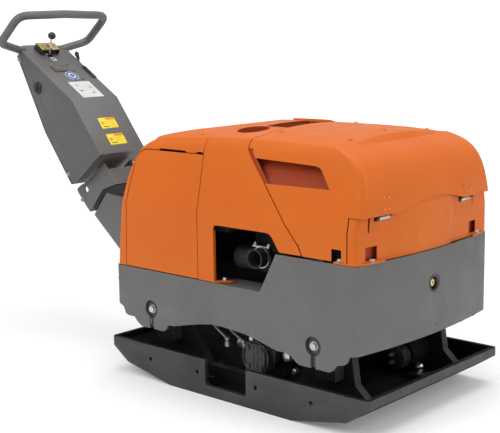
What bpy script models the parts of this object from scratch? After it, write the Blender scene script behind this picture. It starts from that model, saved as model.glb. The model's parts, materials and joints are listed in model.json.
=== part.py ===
"""Reversible hydraulic plate compactor, in metres: +Z up, +X forward, the ground at z = 0.

The vibrating base carries two geared eccentric shafts and a hydraulic motor. Four rubber isolators
carry the chassis with engine, tank, covers and the tilting guide handle.
"""
import math

import bmesh
import bpy
from mathutils import Matrix, Vector

# ---------------------------------------------------------------- driving dimensions
PLATE_HALF_WIDTH = 0.330
PLATE_RIM_TOP = 0.111
PLATE_WALL = 0.014
PLATE_OUTLINE = [(0.240, 0.000), (0.432, 0.038), (0.504, 0.086), (0.504, PLATE_RIM_TOP)]
POCKET_OUTLINE = [(0.236, 0.0155), (0.4255, 0.0525), (0.488, 0.0935), (0.488, 0.130)]
DRAIN_WINDOW = (-0.0905, 0.0725, 0.0317)
SIDE_HOLES = (-0.326, -0.124, 0.108, 0.311)

SHAFT_X = 0.065
SHAFT_Z = 0.1357
SHAFT_RADIUS = 0.015
CAVITY_RADIUS = 0.0735
HOUSING_RADIUS = 0.082
HOUSING_HALF_LENGTH = 0.190
GEAR_TEETH = 18

FRAME_REAR = -0.474
FRAME_FRONT = 0.461
FRAME_HALF_WIDTH = 0.328
FRAME_WALL = 0.007
FRAME_BULGE = 0.028
FRAME_LOW = 0.349
FRAME_HIGH = 0.464
DECK_Z = (0.300, 0.306)
ISOLATOR_X = 0.318
ISOLATOR_Z = 0.2275

COVER_WALL = 0.003
COVER_BULGE = 0.015
COVER_LEVELS = [
    # z, rear x, front x, half width, corner radius
    (0.3515, -0.4690, 0.4730, 0.3280, 0.016),
    (0.4500, -0.4595, 0.4730, 0.3280, 0.016),
    (0.5485, -0.4460, 0.4730, 0.3280, 0.016),
    (0.6000, -0.4380, 0.4740, 0.3175, 0.016),
    (0.6500, -0.4290, 0.4690, 0.3073, 0.016),
    (0.6920, -0.4155, 0.4575, 0.2990, 0.016),
    (0.7220, -0.3990, 0.4380, 0.2925, 0.015),
    (0.7420, -0.3810, 0.4120, 0.2870, 0.014),
    (0.7550, -0.3610, 0.3840, 0.2800, 0.013),
]
RIDGE = (-0.340, 0.352, 0.2690, 0.012)
CROWN_TOP = 0.793
CROWN_FALL = 0.342
REAR_FALL = 0.019
FRONT_FALL = 0.010
FILLER = (-0.034, -0.163)
HOOD_HINGE = (0.457, 0.0, 0.5815)
DOOR_HINGE_Y = 0.326
DOOR_HINGE_Z = 0.3555
GAP = 0.003

HANDLE_PIVOT = (-0.540, 0.0, 0.270)
CONSOLE_HALF_WIDTH = 0.105
CONSOLE_SHEET = 0.003
BEND = (-0.938, 0.0, 0.832)
UPPER_DIR = (-0.8527, 0.0, 0.5224)
LOWER_DIR = (0.6145, 0.0, -0.7889)
ARM_HALF_WIDTH = 0.064
LOOP_RADIUS = 0.0145
LOOP_SEAT = (-1.2353, -0.0785, 0.9994)
LOOP_CORNER = (-1.2080, -0.2000, 1.0300)

MATERIALS = {
    "orange_paint": ((0.78, 0.19, 0.025), 0.0, 0.45),
    "grey_paint": ((0.14, 0.14, 0.145), 0.2, 0.50),
    "cast_iron": ((0.055, 0.057, 0.062), 0.5, 0.60),
    "bright_steel": ((0.62, 0.62, 0.62), 1.0, 0.30),
    "gold_steel": ((0.62, 0.48, 0.20), 1.0, 0.35),
    "brass": ((0.75, 0.60, 0.25), 1.0, 0.35),
    "black_rubber": ((0.018, 0.018, 0.018), 0.0, 0.80),
    "black_plastic": ((0.020, 0.020, 0.022), 0.0, 0.45),
    "engine_alloy": ((0.42, 0.43, 0.44), 0.9, 0.45),
    "display_glass": ((0.10, 0.08, 0.06), 0.0, 0.15),
}


# ---------------------------------------------------------------- building helpers
def clear_scene():
    for obj in list(bpy.data.objects):
        bpy.data.objects.remove(obj, do_unlink=True)


def make_materials():
    for name, (colour, metallic, roughness) in MATERIALS.items():
        made = bpy.data.materials.new(name)
        made.use_nodes = True
        shader = made.node_tree.nodes["Principled BSDF"]
        shader.inputs["Base Color"].default_value = (*colour, 1.0)
        shader.inputs["Metallic"].default_value = metallic
        shader.inputs["Roughness"].default_value = roughness
        made.diffuse_color = (*colour, 1.0)


def skin(name, rings, slot, closed=False):
    """A surface through rings of equal length, capped at both ends or closed on itself."""
    mesh = bmesh.new()
    rows = [[mesh.verts.new(point) for point in ring] for ring in rings]
    pairs = list(zip(rows, rows[1:]))
    if closed:
        pairs.append((rows[-1], rows[0]))
    count = len(rings[0])
    for low, high in pairs:
        for i in range(count):
            j = (i + 1) % count
            mesh.faces.new((low[i], low[j], high[j], high[i]))
    if not closed:
        mesh.faces.new(rows[0])
        mesh.faces.new(rows[-1])
    bmesh.ops.recalc_face_normals(mesh, faces=mesh.faces[:])
    data = bpy.data.meshes.new(name)
    mesh.to_mesh(data)
    mesh.free()
    data.materials.append(bpy.data.materials[slot])
    made = bpy.data.objects.new(name, data)
    bpy.context.scene.collection.objects.link(made)
    return made


def prism(name, outline, low, high, axis, slot):
    """A straight extrusion of a 2-D outline along one axis."""
    place = {
        "X": lambda p, d: (d, p[0], p[1]),
        "Y": lambda p, d: (p[0], d, p[1]),
        "Z": lambda p, d: (p[0], p[1], d),
    }[axis]
    return skin(name, [[place(p, d) for p in outline] for d in (low, high)], slot)


def box(name, low, high, slot, frame=None):
    """A block between two corners, in the world or in a local frame."""
    frame = frame or Matrix.Identity(4)
    flat = [(low[0], low[1]), (high[0], low[1]), (high[0], high[1]), (low[0], high[1])]
    rings = [[frame @ Vector((x, y, z)) for x, y in flat] for z in (low[2], high[2])]
    return skin(name, rings, slot)


def across(direction):
    """Two unit vectors square to a direction."""
    direction = Vector(direction).normalized()
    other = Vector((0, 1, 0)) if abs(direction.y) < 0.9 else Vector((0, 0, 1))
    side = direction.cross(other).normalized()
    return side, direction.cross(side)


def turned(name, start, direction, profile, sides, slot):
    """A turned piece: profile holds (distance along the axis, radius)."""
    direction = Vector(direction).normalized()
    side, up = across(direction)
    rings = []
    for along, radius in profile:
        centre = Vector(start) + direction * along
        angles = [math.tau * (i + 0.5) / sides for i in range(sides)]
        rings.append([centre + radius * (side * math.cos(a) + up * math.sin(a)) for a in angles])
    made = skin(name, rings, slot)
    soften(made, 40)
    return made


def rod(name, start, end, radius, sides, slot):
    span = Vector(end) - Vector(start)
    return turned(name, start, span, [(0, radius), (span.length, radius)], sides, slot)


def rounded_path(points, radius, steps):
    """The points with each inner corner turned into an arc-like bend."""
    points = [Vector(point) for point in points]
    path = [points[0]]
    for before, corner, after in zip(points, points[1:], points[2:]):
        one = corner + (before - corner).normalized() * radius
        two = corner + (after - corner).normalized() * radius
        for i in range(steps + 1):
            t = i / steps
            path.append(one.lerp(corner, t).lerp(corner.lerp(two, t), t))
    path.append(points[-1])
    return path


def pipe(name, path, radius, sides, slot):
    """A round bar along a path, its section carried without twist."""
    path = [Vector(point) for point in path]
    headings = [(b - a).normalized() for a, b in zip(path, path[1:])]
    side, _ = across(headings[0])
    rings = []
    for i, centre in enumerate(path):
        before = headings[max(i - 1, 0)]
        after = headings[min(i, len(headings) - 1)]
        heading = (before + after).normalized()
        side = (side - heading * side.dot(heading)).normalized()
        up = heading.cross(side)
        stretch = 1 / max(heading.dot(after), 0.5)
        bend = (after - before)
        outward = bend.normalized() if bend.length > 1e-6 else Vector((0, 0, 0))
        ring = []
        for k in range(sides):
            angle = math.tau * k / sides
            offset = radius * (side * math.cos(angle) + up * math.sin(angle))
            offset += outward * offset.dot(outward) * (stretch - 1)
            ring.append(centre + offset)
        rings.append(ring)
    made = skin(name, rings, slot)
    soften(made, 40)
    return made


def soften(obj, degrees):
    obj.data.shade_smooth()
    obj.data.set_sharp_from_angle(angle=math.radians(degrees))


def combine(obj, operation, tools):
    for tool in tools:
        tool.hide_render = True
        tool.display_type = "WIRE"
        step = obj.modifiers.new(tool.name, "BOOLEAN")
        step.operation = operation
        step.solver = "EXACT"
        step.object = tool
    return obj


def cut(obj, *tools):
    return combine(obj, "DIFFERENCE", tools)


def fuse(obj, *tools):
    return combine(obj, "UNION", tools)


def keep_inside(obj, tool):
    return combine(obj, "INTERSECT", [tool])


def pivot(obj, point):
    """Puts a moving piece's origin on its joint's axis."""
    obj.data.transform(Matrix.Translation(-Vector(point)))
    obj.location = point


def arc(centre, radius, start, end, steps):
    angles = [math.radians(start + (end - start) * i / steps) for i in range(steps + 1)]
    return [(centre[0] + radius * math.cos(a), centre[1] + radius * math.sin(a)) for a in angles]


def rounded_outline(rear, front, half, radius, bulge, steps=4, front_steps=6, side_steps=1):
    """A plan outline: rounded rectangle whose front side bows outwards."""
    stations = spread(rear + radius, front - radius, side_steps)
    corners = [
        arc((rear + radius, -half + radius), radius, 180, 270, steps),
        [(x, -half) for x in stations],
        arc((front - radius, -half + radius), radius, 270, 360, steps),
        [(front, y) for y in spread(-half + radius, half - radius, front_steps)],
        arc((front - radius, half - radius), radius, 0, 90, steps),
        [(x, half) for x in reversed(stations)],
        arc((rear + radius, half - radius), radius, 90, 180, steps),
    ]
    outline = []
    for x, y in [point for corner in corners for point in corner]:
        reach = max(0.0, (x - front + radius) / radius) if x > front - radius else 0.0
        outline.append((x + bulge * reach * (1 - (y / half) ** 2), y))
    return outline


def spread(low, high, count):
    """The points that divide a side into count parts, without its ends."""
    return [low + (high - low) * i / count for i in range(1, count)]


def mirrored(half_outline):
    """A closed (x, z) outline from its front half, listed from the bottom up."""
    return half_outline + [(-x, z) for x, z in reversed(half_outline)]


# ---------------------------------------------------------------- vibrating base
def base_plate():
    plate = prism("base_plate", mirrored(PLATE_OUTLINE), -PLATE_HALF_WIDTH, PLATE_HALF_WIDTH, "Y", "cast_iron")
    plan = rounded_outline(-0.504, 0.504, PLATE_HALF_WIDTH + 0.0005, 0.012, 0.0, 3, 1)
    keep_inside(plate, prism("plate_plan", plan, -0.05, 0.20, "Z", "cast_iron"))
    depth = PLATE_HALF_WIDTH - PLATE_WALL
    pocket = prism("plate_pocket", mirrored(POCKET_OUTLINE), -depth, depth, "Y", "cast_iron")
    inner = rounded_outline(-0.4895, 0.4895, depth + 0.0005, 0.006, 0.0, 3, 1)
    keep_inside(pocket, prism("pocket_plan", inner, -0.05, 0.20, "Z", "cast_iron"))
    rear, front, sill = DRAIN_WINDOW
    windows = []
    for name, low, high in (("right", -0.36, -0.30), ("left", 0.30, 0.36)):
        outline = [(rear, 0.15), (rear, sill + 0.008), (rear + 0.008, sill),
                   (front - 0.008, sill), (front, sill + 0.008), (front, 0.15)]
        windows.append(prism("plate_window_" + name, outline, low, high, "Y", "cast_iron"))
    holes = [rod(f"plate_hole_{i}", (x, -0.4, 0.067), (x, 0.4, 0.067), 0.0072, 12, "cast_iron")
             for i, x in enumerate(SIDE_HOLES)]
    cut(plate, pocket, *windows, *holes)


def side_rib(name, side):
    top = [(0.4325, 0.0715), (0.391, 0.108), (0.381, 0.174), (0.372, 0.262),
           (0.262, 0.262), (0.235, 0.170), (0.165, 0.060)]
    outline = mirrored([(0.236, 0.0160), (0.4270, 0.0560)] + top)
    rib = prism(name, outline, side * 0.208, side * 0.235, "Y", "cast_iron")
    for x in (-ISOLATOR_X, ISOLATOR_X):
        fuse(rib, box(f"{name}_tower_{x}", (x - 0.035, side * 0.230, 0.120),
                      (x + 0.035, side * 0.2745, 0.2615), "cast_iron"))


def capsule(radius, low=None):
    """The outline round both eccentric shafts, optionally carried down to a foot."""
    z = SHAFT_Z
    upper = arc((SHAFT_X, z), radius, 0, 90, 6) + arc((-SHAFT_X, z), radius, 90, 180, 6)
    if low is None:
        return upper + arc((-SHAFT_X, z), radius, 180, 270, 6) + arc((SHAFT_X, z), radius, 270, 360, 6)
    reach = SHAFT_X + radius
    foot = [(-reach, 0.05), (-reach - 0.018, 0.028), (-reach - 0.018, low)]
    return upper + foot + [(-x, height) for x, height in reversed(foot)]


def exciter():
    end = HOUSING_HALF_LENGTH
    housing = prism("exciter_housing", capsule(HOUSING_RADIUS, 0.0160), -end, end, "Y", "cast_iron")
    cavity = prism("exciter_cavity", capsule(CAVITY_RADIUS), -end - 0.01, end + 0.01, "Y", "cast_iron")
    cut(housing, cavity)
    soften(housing, 40)
    for name, side in (("right", -1), ("left", 1)):
        cover = prism("exciter_cover_" + name, capsule(HOUSING_RADIUS), side * (end + 0.0005),
                      side * (end + 0.0125), "Y", "cast_iron")
        for x in (-SHAFT_X, SHAFT_X):
            cut(cover, rod(f"cover_bore_{name}_{x}", (x, side * 0.17, SHAFT_Z),
                           (x, side * 0.22, SHAFT_Z), SHAFT_RADIUS + 0.0005, 20, "cast_iron"))
        soften(cover, 40)


def eccentric_shaft(name, x):
    shaft = rod(name, (x, -0.2020, SHAFT_Z), (x, 0.2020, SHAFT_Z), SHAFT_RADIUS, 20, "bright_steel")
    lump = arc((x, SHAFT_Z), 0.056, 180, 360, 10)
    weight = prism(name + "_weight", lump, -0.155, 0.115, "Y", "bright_steel")
    fuse(shaft, weight)
    pivot(shaft, (x, 0, SHAFT_Z))


def toothed(name, centre, span, root, tip, teeth, phase, widths, slot):
    """A wheel across Y whose teeth stand at phase plus whole steps."""
    step = math.tau / teeth
    outline = []
    for k in range(teeth):
        middle = phase + k * step
        for offset, radius in ((-widths[0], root), (-widths[1], tip), (widths[1], tip), (widths[0], root)):
            angle = middle + offset * step
            outline.append((centre[0] + radius * math.cos(angle), centre[1] + radius * math.sin(angle)))
    return prism(name, outline, span[0], span[1], "Y", slot)


def timing_gears():
    for name, x, phase in (("drive_gear", SHAFT_X, math.pi), ("driven_gear", -SHAFT_X, math.pi / GEAR_TEETH)):
        gear = toothed(name, (x, SHAFT_Z), (0.135, 0.160), SHAFT_X - 0.0068, SHAFT_X + 0.0052,
                       GEAR_TEETH, phase, (0.29, 0.12), "bright_steel")
        cut(gear, rod(name + "_bore", (x, 0.12, SHAFT_Z), (x, 0.18, SHAFT_Z), SHAFT_RADIUS + 0.0003, 20,
                      "bright_steel"))
        pivot(gear, (x, 0, SHAFT_Z))


def hydraulic_motor():
    turned("hydraulic_motor", (SHAFT_X, -0.2028, SHAFT_Z), (0, -1, 0),
           [(0, 0.040), (0.020, 0.040), (0.024, 0.047), (0.0540, 0.047)], 20, "cast_iron")
    cover = turned("motor_end_cover", (SHAFT_X, -0.2573, SHAFT_Z), (0, -1, 0),
                   [(0, 0.043), (0.012, 0.043), (0.014, 0.041), (0.022, 0.041), (0.024, 0.036)], 24, "cast_iron")
    for i in range(4):
        angle = math.radians(45 + 90 * i)
        x = SHAFT_X + 0.044 * math.cos(angle)
        z = SHAFT_Z + 0.044 * math.sin(angle)
        fuse(cover, rod(f"motor_lobe_{i}", (x, -0.2573, z), (x, -0.2730, z), 0.0105, 10, "cast_iron"))


def hose(name, fitting, path):
    """A hydraulic hose with a hexagonal end fitting."""
    line = pipe(name, rounded_path(path, 0.02, 3), 0.0085, 8, "black_rubber")
    low, high = fitting
    fuse(line, rod(name + "_nut", low, high, 0.0125, 6, "black_rubber"))


def hoses():
    hose("supply_hose", ((0.050, -0.235, 0.1895), (0.050, -0.235, 0.204)),
         [(0.050, -0.235, 0.1835), (0.050, -0.235, 0.216), (-0.030, -0.232, 0.228),
          (-0.142, -0.230, 0.240), (-0.142, -0.230, 0.330)])
    hose("return_hose", ((0.080, -0.235, 0.1895), (0.080, -0.235, 0.204)),
         [(0.080, -0.235, 0.1835), (0.080, -0.235, 0.242), (-0.030, -0.232, 0.254),
          (-0.116, -0.230, 0.260), (-0.116, -0.230, 0.330)])


def oil_plug():
    profile = [(0, 0.018), (0.008, 0.018), (0.0085, 0.0080), (0.014, 0.0080), (0.0165, 0.0060), (0.0195, 0.0090),
               (0.0255, 0.0105), (0.0315, 0.0090), (0.0350, 0.0045)]
    turned("oil_plug", (0.357, 0.130, 0.0440), (0, 0, 1), profile, 12, "bright_steel")


# ---------------------------------------------------------------- chassis frame
FRAME_BOTTOM = [
    (-0.600, 0.225), (-0.466, 0.225), (-0.446, 0.216), (-0.436, 0.195), (-0.423, 0.1905), (-0.397, 0.191),
    (-0.3855, 0.179), (-0.365, 0.166), (-0.2665, 0.166), (-0.2545, 0.174), (-0.247, 0.188), (-0.218, 0.1905),
    (-0.187, 0.1975), (-0.122, 0.213), (-0.067, 0.2225), (-0.018, 0.2235), (0.062, 0.218), (0.1005, 0.212),
    (0.161, 0.197), (0.1875, 0.191), (0.217, 0.191), (0.241, 0.185), (0.258, 0.172), (0.271, 0.166),
    (0.373, 0.166), (0.384, 0.171), (0.398, 0.189), (0.424, 0.1956), (0.435, 0.207), (0.438, 0.219),
    (0.4505, 0.223), (0.600, 0.223),
]


def main_frame():
    outer = rounded_outline(FRAME_REAR, FRAME_FRONT, FRAME_HALF_WIDTH, 0.014, FRAME_BULGE)
    inner = rounded_outline(FRAME_REAR + FRAME_WALL, FRAME_FRONT - FRAME_WALL,
                            FRAME_HALF_WIDTH - FRAME_WALL, 0.008, FRAME_BULGE)
    levels = [(inner, 0.140), (outer, 0.140), (outer, 0.500), (inner, 0.500)]
    frame = skin("main_frame", [[(x, y, z) for x, y in ring] for ring, z in levels], "grey_paint", True)
    below = [(-0.6, 0.10)] + FRAME_BOTTOM + [(0.6, 0.10)]
    above = [(-0.6, 0.60), (-0.6, FRAME_LOW), (0.128, FRAME_LOW), (0.188, FRAME_HIGH), (0.6, FRAME_HIGH),
             (0.6, 0.60)]
    cut(frame, prism("frame_arches", below, -0.4, 0.4, "Y", "grey_paint"))
    cut(frame, prism("frame_step", above, -0.4, 0.4, "Y", "grey_paint"))
    for x in (-ISOLATOR_X, ISOLATOR_X):
        slot = [(x - 0.009, 0.15), (x + 0.009, 0.15), (x + 0.009, ISOLATOR_Z - 0.0265)]
        slot += arc((x, ISOLATOR_Z), 0.028, -70, 250, 16) + [(x - 0.009, ISOLATOR_Z - 0.0265)]
        cut(frame, prism(f"frame_keyhole_{x}", slot, -0.4, 0.4, "Y", "grey_paint"))
    cut(frame, rod("frame_port", (0.42, 0, 0.3665), (0.55, 0, 0.3665), 0.021, 20, "grey_paint"))
    deck = box("frame_deck", (-0.4705, -0.3245, DECK_Z[0]), (0.4575, 0.3245, DECK_Z[1]), "grey_paint")
    cut(deck, box("deck_port", (-0.16, -0.255, 0.28), (-0.10, -0.205, 0.33), "grey_paint"))
    fuse(frame, deck)


def isolators():
    rear, front = -ISOLATOR_X, ISOLATOR_X
    places = (("rear_right", rear, -1), ("front_right", front, -1), ("rear_left", rear, 1), ("front_left", front, 1))
    for name, x, side in places:
        axis = (0, -side, 0)
        mount = turned("isolator_" + name, (x, side * 0.3205, ISOLATOR_Z), axis,
                       [(0, 0.036), (0.005, 0.036), (0.010, 0.031), (0.035, 0.031), (0.040, 0.036),
                        (0.0448, 0.036)], 20, "black_rubber")
        cut(mount, rod("isolator_bore_" + name, (x, side * 0.34, ISOLATOR_Z), (x, side * 0.29, ISOLATOR_Z),
                       0.0066, 12, "black_rubber"))
        bolt = rod("isolator_bolt_" + name, (x, side * 0.2910, ISOLATOR_Z), (x, side * 0.3260, ISOLATOR_Z),
                   0.006, 12, "bright_steel")
        fuse(bolt, turned("bolt_head_" + name, (x, side * 0.3210, ISOLATOR_Z), (0, side, 0),
                          [(0, 0.0135), (0.002, 0.0135), (0.0022, 0.0105), (0.0085, 0.0105)], 12, "bright_steel"))


def drain_plug():
    plug = turned("drain_plug", (0.4840, 0, 0.3690), (-1, 0, 0),
                  [(0, 0.0105), (0.006, 0.0115), (0.010, 0.0115), (0.011, 0.0135), (0.030, 0.0135)], 16, "brass")
    cut(plug, rod("plug_socket", (0.470, 0, 0.369), (0.50, 0, 0.369), 0.004, 6, "brass"))
    fuse(plug, box("plug_lever", (0.4640, -0.004, 0.3500), (0.4680, 0.004, 0.3620), "brass"))


def handle_bracket():
    x, _, z = HANDLE_PIVOT
    bracket = box("handle_bracket", (-0.4860, -0.110, 0.230), (-0.4745, 0.110, 0.338), "grey_paint")
    cheek = [(-0.482, 0.232), (-0.482, 0.336)] + arc((x, z), 0.036, 90, 270, 8)
    for name, side in (("right", -1), ("left", 1)):
        ear = prism("bracket_ear_" + name, cheek, side * 0.070, side * 0.082, "Y", "grey_paint")
        fuse(bracket, ear)
    cut(bracket, rod("bracket_bore", (x, -0.12, z), (x, 0.12, z), 0.0125, 16, "grey_paint"))
    pin = rod("handle_pin", (x, -0.090, z), (x, 0.090, z), 0.012, 16, "bright_steel")
    return pin


# ---------------------------------------------------------------- engine and hydraulics
def power_unit():
    deck = DECK_Z[1] + 0.0005
    engine = box("engine_block", (-0.020, -0.130, deck), (0.200, 0.130, 0.500), "engine_alloy")
    fuse(engine, box("engine_head", (0.010, -0.095, 0.480), (0.150, 0.095, 0.640), "engine_alloy"))
    for i in range(5):
        z = 0.515 + 0.024 * i
        fuse(engine, box(f"engine_fin_{i}", (-0.006, -0.110, z), (0.166, 0.110, z + 0.008), "engine_alloy"))
    cut(engine, rod("crank_bore", (0.090, 0.080, 0.405), (0.090, 0.150, 0.405), 0.0155, 16, "engine_alloy"))
    wheel = toothed("flywheel_fan", (0.090, 0.405), (0.150, 0.180), 0.062, 0.086, 10, 0.0, (0.34, 0.20),
                    "engine_alloy")
    fuse(wheel, rod("crank_stub", (0.090, 0.100, 0.405), (0.090, 0.155, 0.405), 0.015, 16, "engine_alloy"))
    pivot(wheel, (0.090, 0, 0.405))
    turned("hydraulic_pump", (0.090, -0.1305, 0.395), (0, -1, 0),
           [(0, 0.045), (0.010, 0.045), (0.012, 0.033), (0.036, 0.033), (0.041, 0.026)], 14, "cast_iron")
    turned("air_filter", (0.300, -0.110, 0.560), (0, 1, 0),
           [(0, 0.052), (0.006, 0.060), (0.200, 0.060), (0.206, 0.052)], 18, "black_plastic")
    battery = box("battery", (-0.430, 0.080, deck), (-0.250, 0.280, 0.480), "black_plastic")
    fuse(battery, box("battery_lid", (-0.425, 0.085, 0.475), (-0.255, 0.275, 0.490), "black_plastic"))


def fuel_tank():
    x, y = FILLER
    tank = box("fuel_tank", (-0.370, -0.272, 0.490), (-0.044, 0.000, 0.690), "black_plastic")
    fuse(tank, box("tank_shoulder", (-0.100, -0.268, 0.505), (0.006, -0.118, 0.685), "black_plastic"))
    neck = turned("tank_neck", (x, y, 0.675), (0, 0, 1), [(0, 0.030), (0.045, 0.030)], 16, "black_plastic")
    fuse(tank, neck)
    cut(tank, rod("neck_bore", (x, y, 0.695), (x, y, 0.740), 0.024, 16, "black_plastic"))
    turned("fuel_cap", (x, y, 0.7205), (0, 0, 1),
           [(0, 0.038), (0.018, 0.038), (0.024, 0.032), (0.026, 0.018), (0.032, 0.016)], 16, "black_plastic")


def exhaust():
    turned("muffler", (-0.050, -0.215, 0.412), (1, 0, 0),
           [(0, 0.020), (0.006, 0.034), (0.190, 0.034), (0.196, 0.020)], 16, "cast_iron")
    x, z = 0.090, 0.435
    tail_pipe = rod("exhaust_pipe", (x, -0.2535, z), (x, -0.306, z), 0.0280, 20, "cast_iron")
    cut(tail_pipe, rod("pipe_mouth", (x, -0.262, z), (x, -0.32, z), 0.0250, 20, "cast_iron"))
    clamp = rod("exhaust_clamp", (x, -0.268, z), (x, -0.279, z), 0.0315, 20, "bright_steel")
    fuse(clamp, box("clamp_ears", (x - 0.030, -0.280, z + 0.0290), (x + 0.032, -0.267, z + 0.0330), "bright_steel"))
    cut(clamp, rod("clamp_bore", (x, -0.26, z), (x, -0.30, z), 0.0284, 20, "bright_steel"))


def lifting_eye():
    """A post behind the engine with an arm over it and an upright eye."""
    eye = box("lifting_eye", (-0.038, -0.010, DECK_Z[1] + 0.0005), (-0.022, 0.040, 0.664), "bright_steel")
    fuse(eye, box("eye_arm", (-0.038, -0.010, 0.646), (0.046, 0.008, 0.664), "bright_steel"))
    outline = [(-0.022, 0.655), (0.046, 0.655)] + arc((0.012, 0.738), 0.034, -15, 195, 12)
    fuse(eye, prism("eye_ring", outline, -0.008, 0.006, "Y", "bright_steel"))
    cut(eye, rod("eye_hole", (0.012, -0.05, 0.738), (0.012, 0.05, 0.738), 0.020, 16, "bright_steel"))


# ---------------------------------------------------------------- covers
def crown(x, y, inset):
    """The height of the domed top."""
    front = FRONT_FALL * (max(x - 0.010, 0.0) / 0.352) ** 6
    share = 0.4 + 0.6 * min(1.0, abs(y) / RIDGE[2]) ** 4
    return CROWN_TOP - inset - CROWN_FALL * y * y - front - share * rear_fall(x)


def rear_fall(x):
    """How far the long top edges drop towards the rear. The middle of the dome drops less."""
    return REAR_FALL * (max(-x, 0.0) / 0.340) ** 1.5


def cover_rings(inset, front_step=0.0):
    """Rings of the closed cover's surface, from its foot to the crown."""
    rings = []
    for z, rear, front, half, radius in COVER_LEVELS:
        ring = rounded_outline(rear + inset, front - front_step - inset, half - inset, radius - inset, COVER_BULGE,
                               side_steps=4)
        drop = max(z - 0.600, 0.0) / 0.166
        rings.append([(x, y, z - (inset if z > 0.70 else 0) - drop * rear_fall(x)) for x, y in ring])
    rear, front, half, radius = RIDGE
    ridge = rounded_outline(rear + inset, front - front_step - inset, half - inset, radius - inset, COVER_BULGE / 2,
                            side_steps=4)
    for share in (1.0, 0.72, 0.40):
        ring = [(0.010 + share * (x - 0.010), share * y) for x, y in ridge]
        rings.append([(x, y, crown(x, y, inset)) for x, y in ring])
    return rings


def cover_shell(name, front_step=0.0):
    outer = cover_rings(0.0, front_step)
    inner = cover_rings(COVER_WALL, front_step)
    shell = skin(name, inner[::-1] + outer, "orange_paint")
    soften(shell, 32)
    return shell


def door_outline(grow):
    """The side door's outline, or with growth the opening that it closes."""
    rear = [(-0.4250, 0.3525), (-0.4190, 0.463), (-0.4175, 0.548), (-0.4110, 0.603), (-0.4030, 0.650)]
    rear = [(x - grow, z) for x, z in rear]
    rear[0] = (rear[0][0], 0.3525 - grow)
    corner = arc((-0.353, 0.6645), 0.050 + grow, 172, 90, 5)
    return rear + corner + [(-0.1145 + grow, 0.7145 + grow), (-0.1145 + grow, 0.3525 - grow)]


def right_and_left(name, outline, low, high):
    """Two prisms of one (x, z) outline, one on each side."""
    return [prism(f"{name}_{side}", outline, side * low, side * high, "Y", "orange_paint") for side in (-1, 1)]


def rear_cover():
    cover = cover_shell("rear_cover")
    seam = [(0.0535, 0.900), (0.0535, 0.789), (0.0525, 0.760), (0.0540, 0.7440), (0.0630, 0.7290),
            (0.2655, 0.4962), (0.2775, 0.4715), (0.2010, 0.4715), (0.1760, 0.5080), (0.1540, 0.5205),
            (-0.0360, 0.5205), (-0.0445, 0.5170), (-0.0485, 0.5085), (-0.0485, 0.3515), (-0.600, 0.3515),
            (-0.600, 0.900)]
    keep_inside(cover, prism("rear_cover_zone", seam, -0.4, 0.4, "Y", "orange_paint"))
    cut(cover, *right_and_left("door_opening", door_outline(GAP), 0.20, 0.40))
    slots = [(-0.303, 0.709), (-0.303, 0.7215), (-0.187, 0.7215), (-0.187, 0.709)]
    short = [(-0.144, 0.709), (-0.144, 0.7215), (-0.117, 0.7215), (-0.117, 0.709)]
    cut(cover, *right_and_left("finger_slot", slots, 0.20, 0.40))
    cut(cover, *right_and_left("latch_slot", short, 0.20, 0.40))
    cut(cover, rod("filler_opening", (FILLER[0], FILLER[1], 0.70), (FILLER[0], FILLER[1], 0.85), 0.0485, 24,
                   "orange_paint"))
    cut(cover, box("lifting_opening", (-0.030, -0.112, 0.70), (0.080, 0.085, 0.85), "orange_paint"))


def front_hood():
    hood = cover_shell("front_hood")
    zone = [(0.0575, 0.900), (0.0575, 0.790), (0.0565, 0.760), (0.0580, 0.7450), (0.0670, 0.7300),
            (0.2700, 0.4985), (0.2826, 0.4710), (0.4300, 0.4710), (0.4300, 0.5900), (0.600, 0.5900), (0.600, 0.900)]
    keep_inside(hood, prism("hood_zone", zone, -0.4, 0.4, "Y", "orange_paint"))
    vent = [(0.0400, 0.7440), (0.0730, 0.7440), (0.0800, 0.7300), (0.0880, 0.7195), (0.3020, 0.7130),
            (0.3180, 0.7090), (0.3280, 0.7000), (0.3450, 0.6750), (0.3590, 0.6550), (0.1375, 0.6530),
            (0.0400, 0.6530)]
    notch = [(0.380, 0.450), (0.380, 0.504), (0.4135, 0.504), (0.4135, 0.450)]
    cut(hood, *right_and_left("air_vent", vent, 0.20, 0.40))
    cut(hood, *right_and_left("bolt_notch", notch, 0.20, 0.40))
    arch = [(-0.175, 0.560), (-0.160, 0.5895), (-0.120, 0.600), (-0.084, 0.6075), (-0.040, 0.6140),
            (0.000, 0.6165), (0.040, 0.6140), (0.084, 0.6075), (0.120, 0.600), (0.160, 0.5895), (0.175, 0.560)]
    cut(hood, prism("lip_arch", arch, 0.440, 0.600, "X", "orange_paint"))
    for name, side in (("right", -1), ("left", 1)):
        fuse(hood, box("hood_lug_" + name, (0.4500, side * 0.196, 0.5745), (0.4650, side * 0.2015, 0.6200),
                       "orange_paint"))
        fuse(hood, box("hood_web_" + name, (0.4500, side * 0.196, 0.6120), (0.4790, side * 0.2015, 0.6300),
                       "orange_paint"))
        cut(hood, rod("lug_bore_" + name, (HOOD_HINGE[0], side * 0.18, HOOD_HINGE[2]),
                      (HOOD_HINGE[0], side * 0.21, HOOD_HINGE[2]), 0.0046, 12, "orange_paint"))
    pivot(hood, HOOD_HINGE)


def doors():
    for name, side in (("right_door", -1), ("left_door", 1)):
        door = cover_shell(name)
        zone = prism(name + "_zone", door_outline(0.0), side * 0.25, side * 0.40, "Y", "orange_paint")
        keep_inside(door, zone)
        pivot(door, (0, side * DOOR_HINGE_Y, DOOR_HINGE_Z))


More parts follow.
